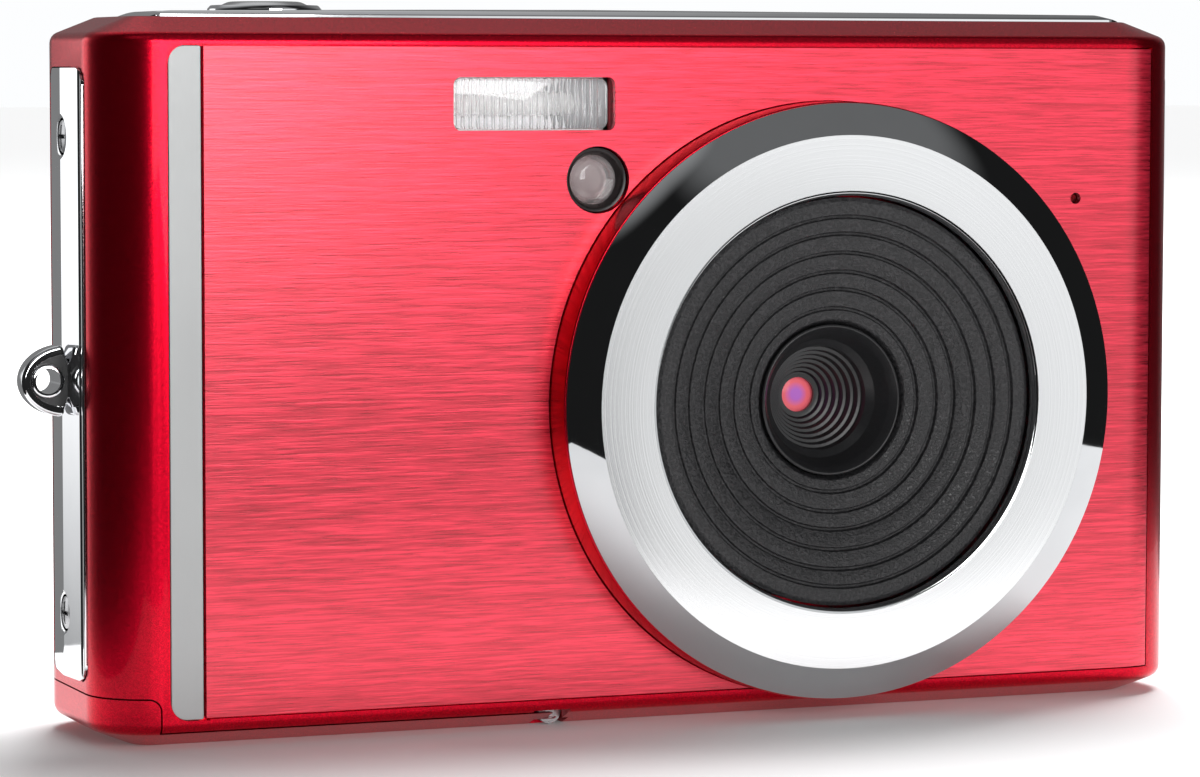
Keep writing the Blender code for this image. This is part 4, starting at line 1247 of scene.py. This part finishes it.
def softbox(name, azimuth, elevation, distance, size, radiance, in_gloss=True):
    """A rectangular light aimed at the camera's middle."""
    aim = Vector((0, 0, 0.5 * HEIGHT))
    away = towards(azimuth, elevation)
    light = bpy.data.lights.new(name, "AREA")
    light.shape = "RECTANGLE"
    light.size, light.size_y = size[0] * MM, size[1] * MM
    light.energy = radiance * math.pi * light.size * light.size_y
    obj = bpy.data.objects.new(name, light)
    obj.location = (aim + away * distance) * MM
    obj.rotation_mode = "QUATERNION"
    obj.rotation_quaternion = away.to_track_quat("Z", "Y")
    obj.visible_camera = False
    obj.visible_glossy = in_gloss
    bpy.context.scene.collection.objects.link(obj)


def lights():
    softbox("front_box", 3, 12, 640, (290, 270), 6.6)
    softbox("top_box", 140, 62, 1100, (640, 600), 15.0, in_gloss=False)


def world():
    """A dim room with soft areas of light. To the camera view it is plain white."""
    made = bpy.data.worlds.new("studio")
    bpy.context.scene.world = made
    made.use_nodes = True
    made.cycles.sampling_method = "NONE"
    tree = made.node_tree
    background = tree.nodes["Background"]
    aim = tree.nodes.new("ShaderNodeTexCoord").outputs["Generated"]

    def number(operation, one, two):
        node = tree.nodes.new("ShaderNodeMath")
        node.operation = operation
        for socket, value in zip(node.inputs, (one, two)):
            if isinstance(value, bpy.types.NodeSocket):
                tree.links.new(value, socket)
            else:
                socket.default_value = value
        return node.outputs[0]

    def glow(azimuth, elevation, inner, outer, strength):
        """A soft round area of light, its two radii given as angles."""
        dot = tree.nodes.new("ShaderNodeVectorMath")
        dot.operation = "DOT_PRODUCT"
        tree.links.new(aim, dot.inputs[0])
        dot.inputs[1].default_value = towards(azimuth, elevation)
        fade = tree.nodes.new("ShaderNodeMapRange")
        fade.interpolation_type = "SMOOTHSTEP"
        for name, value in (
            ("From Min", math.cos(math.radians(outer))), ("From Max", math.cos(math.radians(inner))),
            ("To Min", 0.0), ("To Max", strength),
        ):
            fade.inputs[name].default_value = value
        tree.links.new(dot.outputs["Value"], fade.inputs["Value"])
        return fade.outputs["Result"]

    room = 0.016
    total = room
    for spot in STUDIO:
        total = number("ADD", glow(*spot), total)
    seen = tree.nodes.new("ShaderNodeMix")
    tree.links.new(tree.nodes.new("ShaderNodeLightPath").outputs["Is Camera Ray"], seen.inputs[0])
    tree.links.new(total, seen.inputs[2])
    seen.inputs[3].default_value = 1.0
    tree.links.new(seen.outputs[0], background.inputs["Strength"])
    background.inputs["Color"].default_value = (0.98, 0.99, 1.0, 1)


# Azimuth (0 ahead, 90 at the right end), elevation, inner and outer radius in degrees, strength
STUDIO = (
    (180, 15, 30, 75, 0.20),
    (180, 62, 10, 32, 0.45),
    (211, 6, 9, 17, 1.3),
    (34, 4, 11, 20, 0.98),
    (30, 50, 22, 34, 0.20),
    (-35, 50, 8, 20, 0.35),
)


def camera():
    """Ahead of the left end, a little above, through a long lens."""
    yaw, pitch, roll = math.radians(22.0), math.radians(4.1), math.radians(0.08)
    data = bpy.data.cameras.new("photo_camera")
    data.sensor_fit = "HORIZONTAL"
    data.sensor_width = 36.0
    data.lens = 131.84
    data.clip_start = 0.01
    data.clip_end = 50.0
    obj = bpy.data.objects.new("photo_camera", data)
    obj.location = Vector((-133.75, -325.71, 50.93)) * MM
    obj.rotation_mode = "XYZ"
    look = Vector((math.sin(yaw) * math.cos(pitch), math.cos(yaw) * math.cos(pitch), -math.sin(pitch)))
    turn = look.to_track_quat("-Z", "Y").to_matrix().to_4x4() @ Matrix.Rotation(roll, 4, "Z")
    obj.rotation_euler = turn.to_euler()
    bpy.context.scene.collection.objects.link(obj)
    bpy.context.scene.camera = obj


paint_nodes(KEPT)
front_shell()
rear_shell()
front_panel()
trim_strip()
battery_door()
lens_boss()
lens_ring()
lens_surround()
lens_barrel()
flash()
lamp()
side_trim("left_side_trim", "left_strip", -1)
side_trim("right_side_trim", "right_strip", 1)
strap_eye()
top_deck()
underside()
display()
controls()
studio_floor()
lights()
world()
camera()
bpy.context.scene.view_settings.view_transform = "Standard"
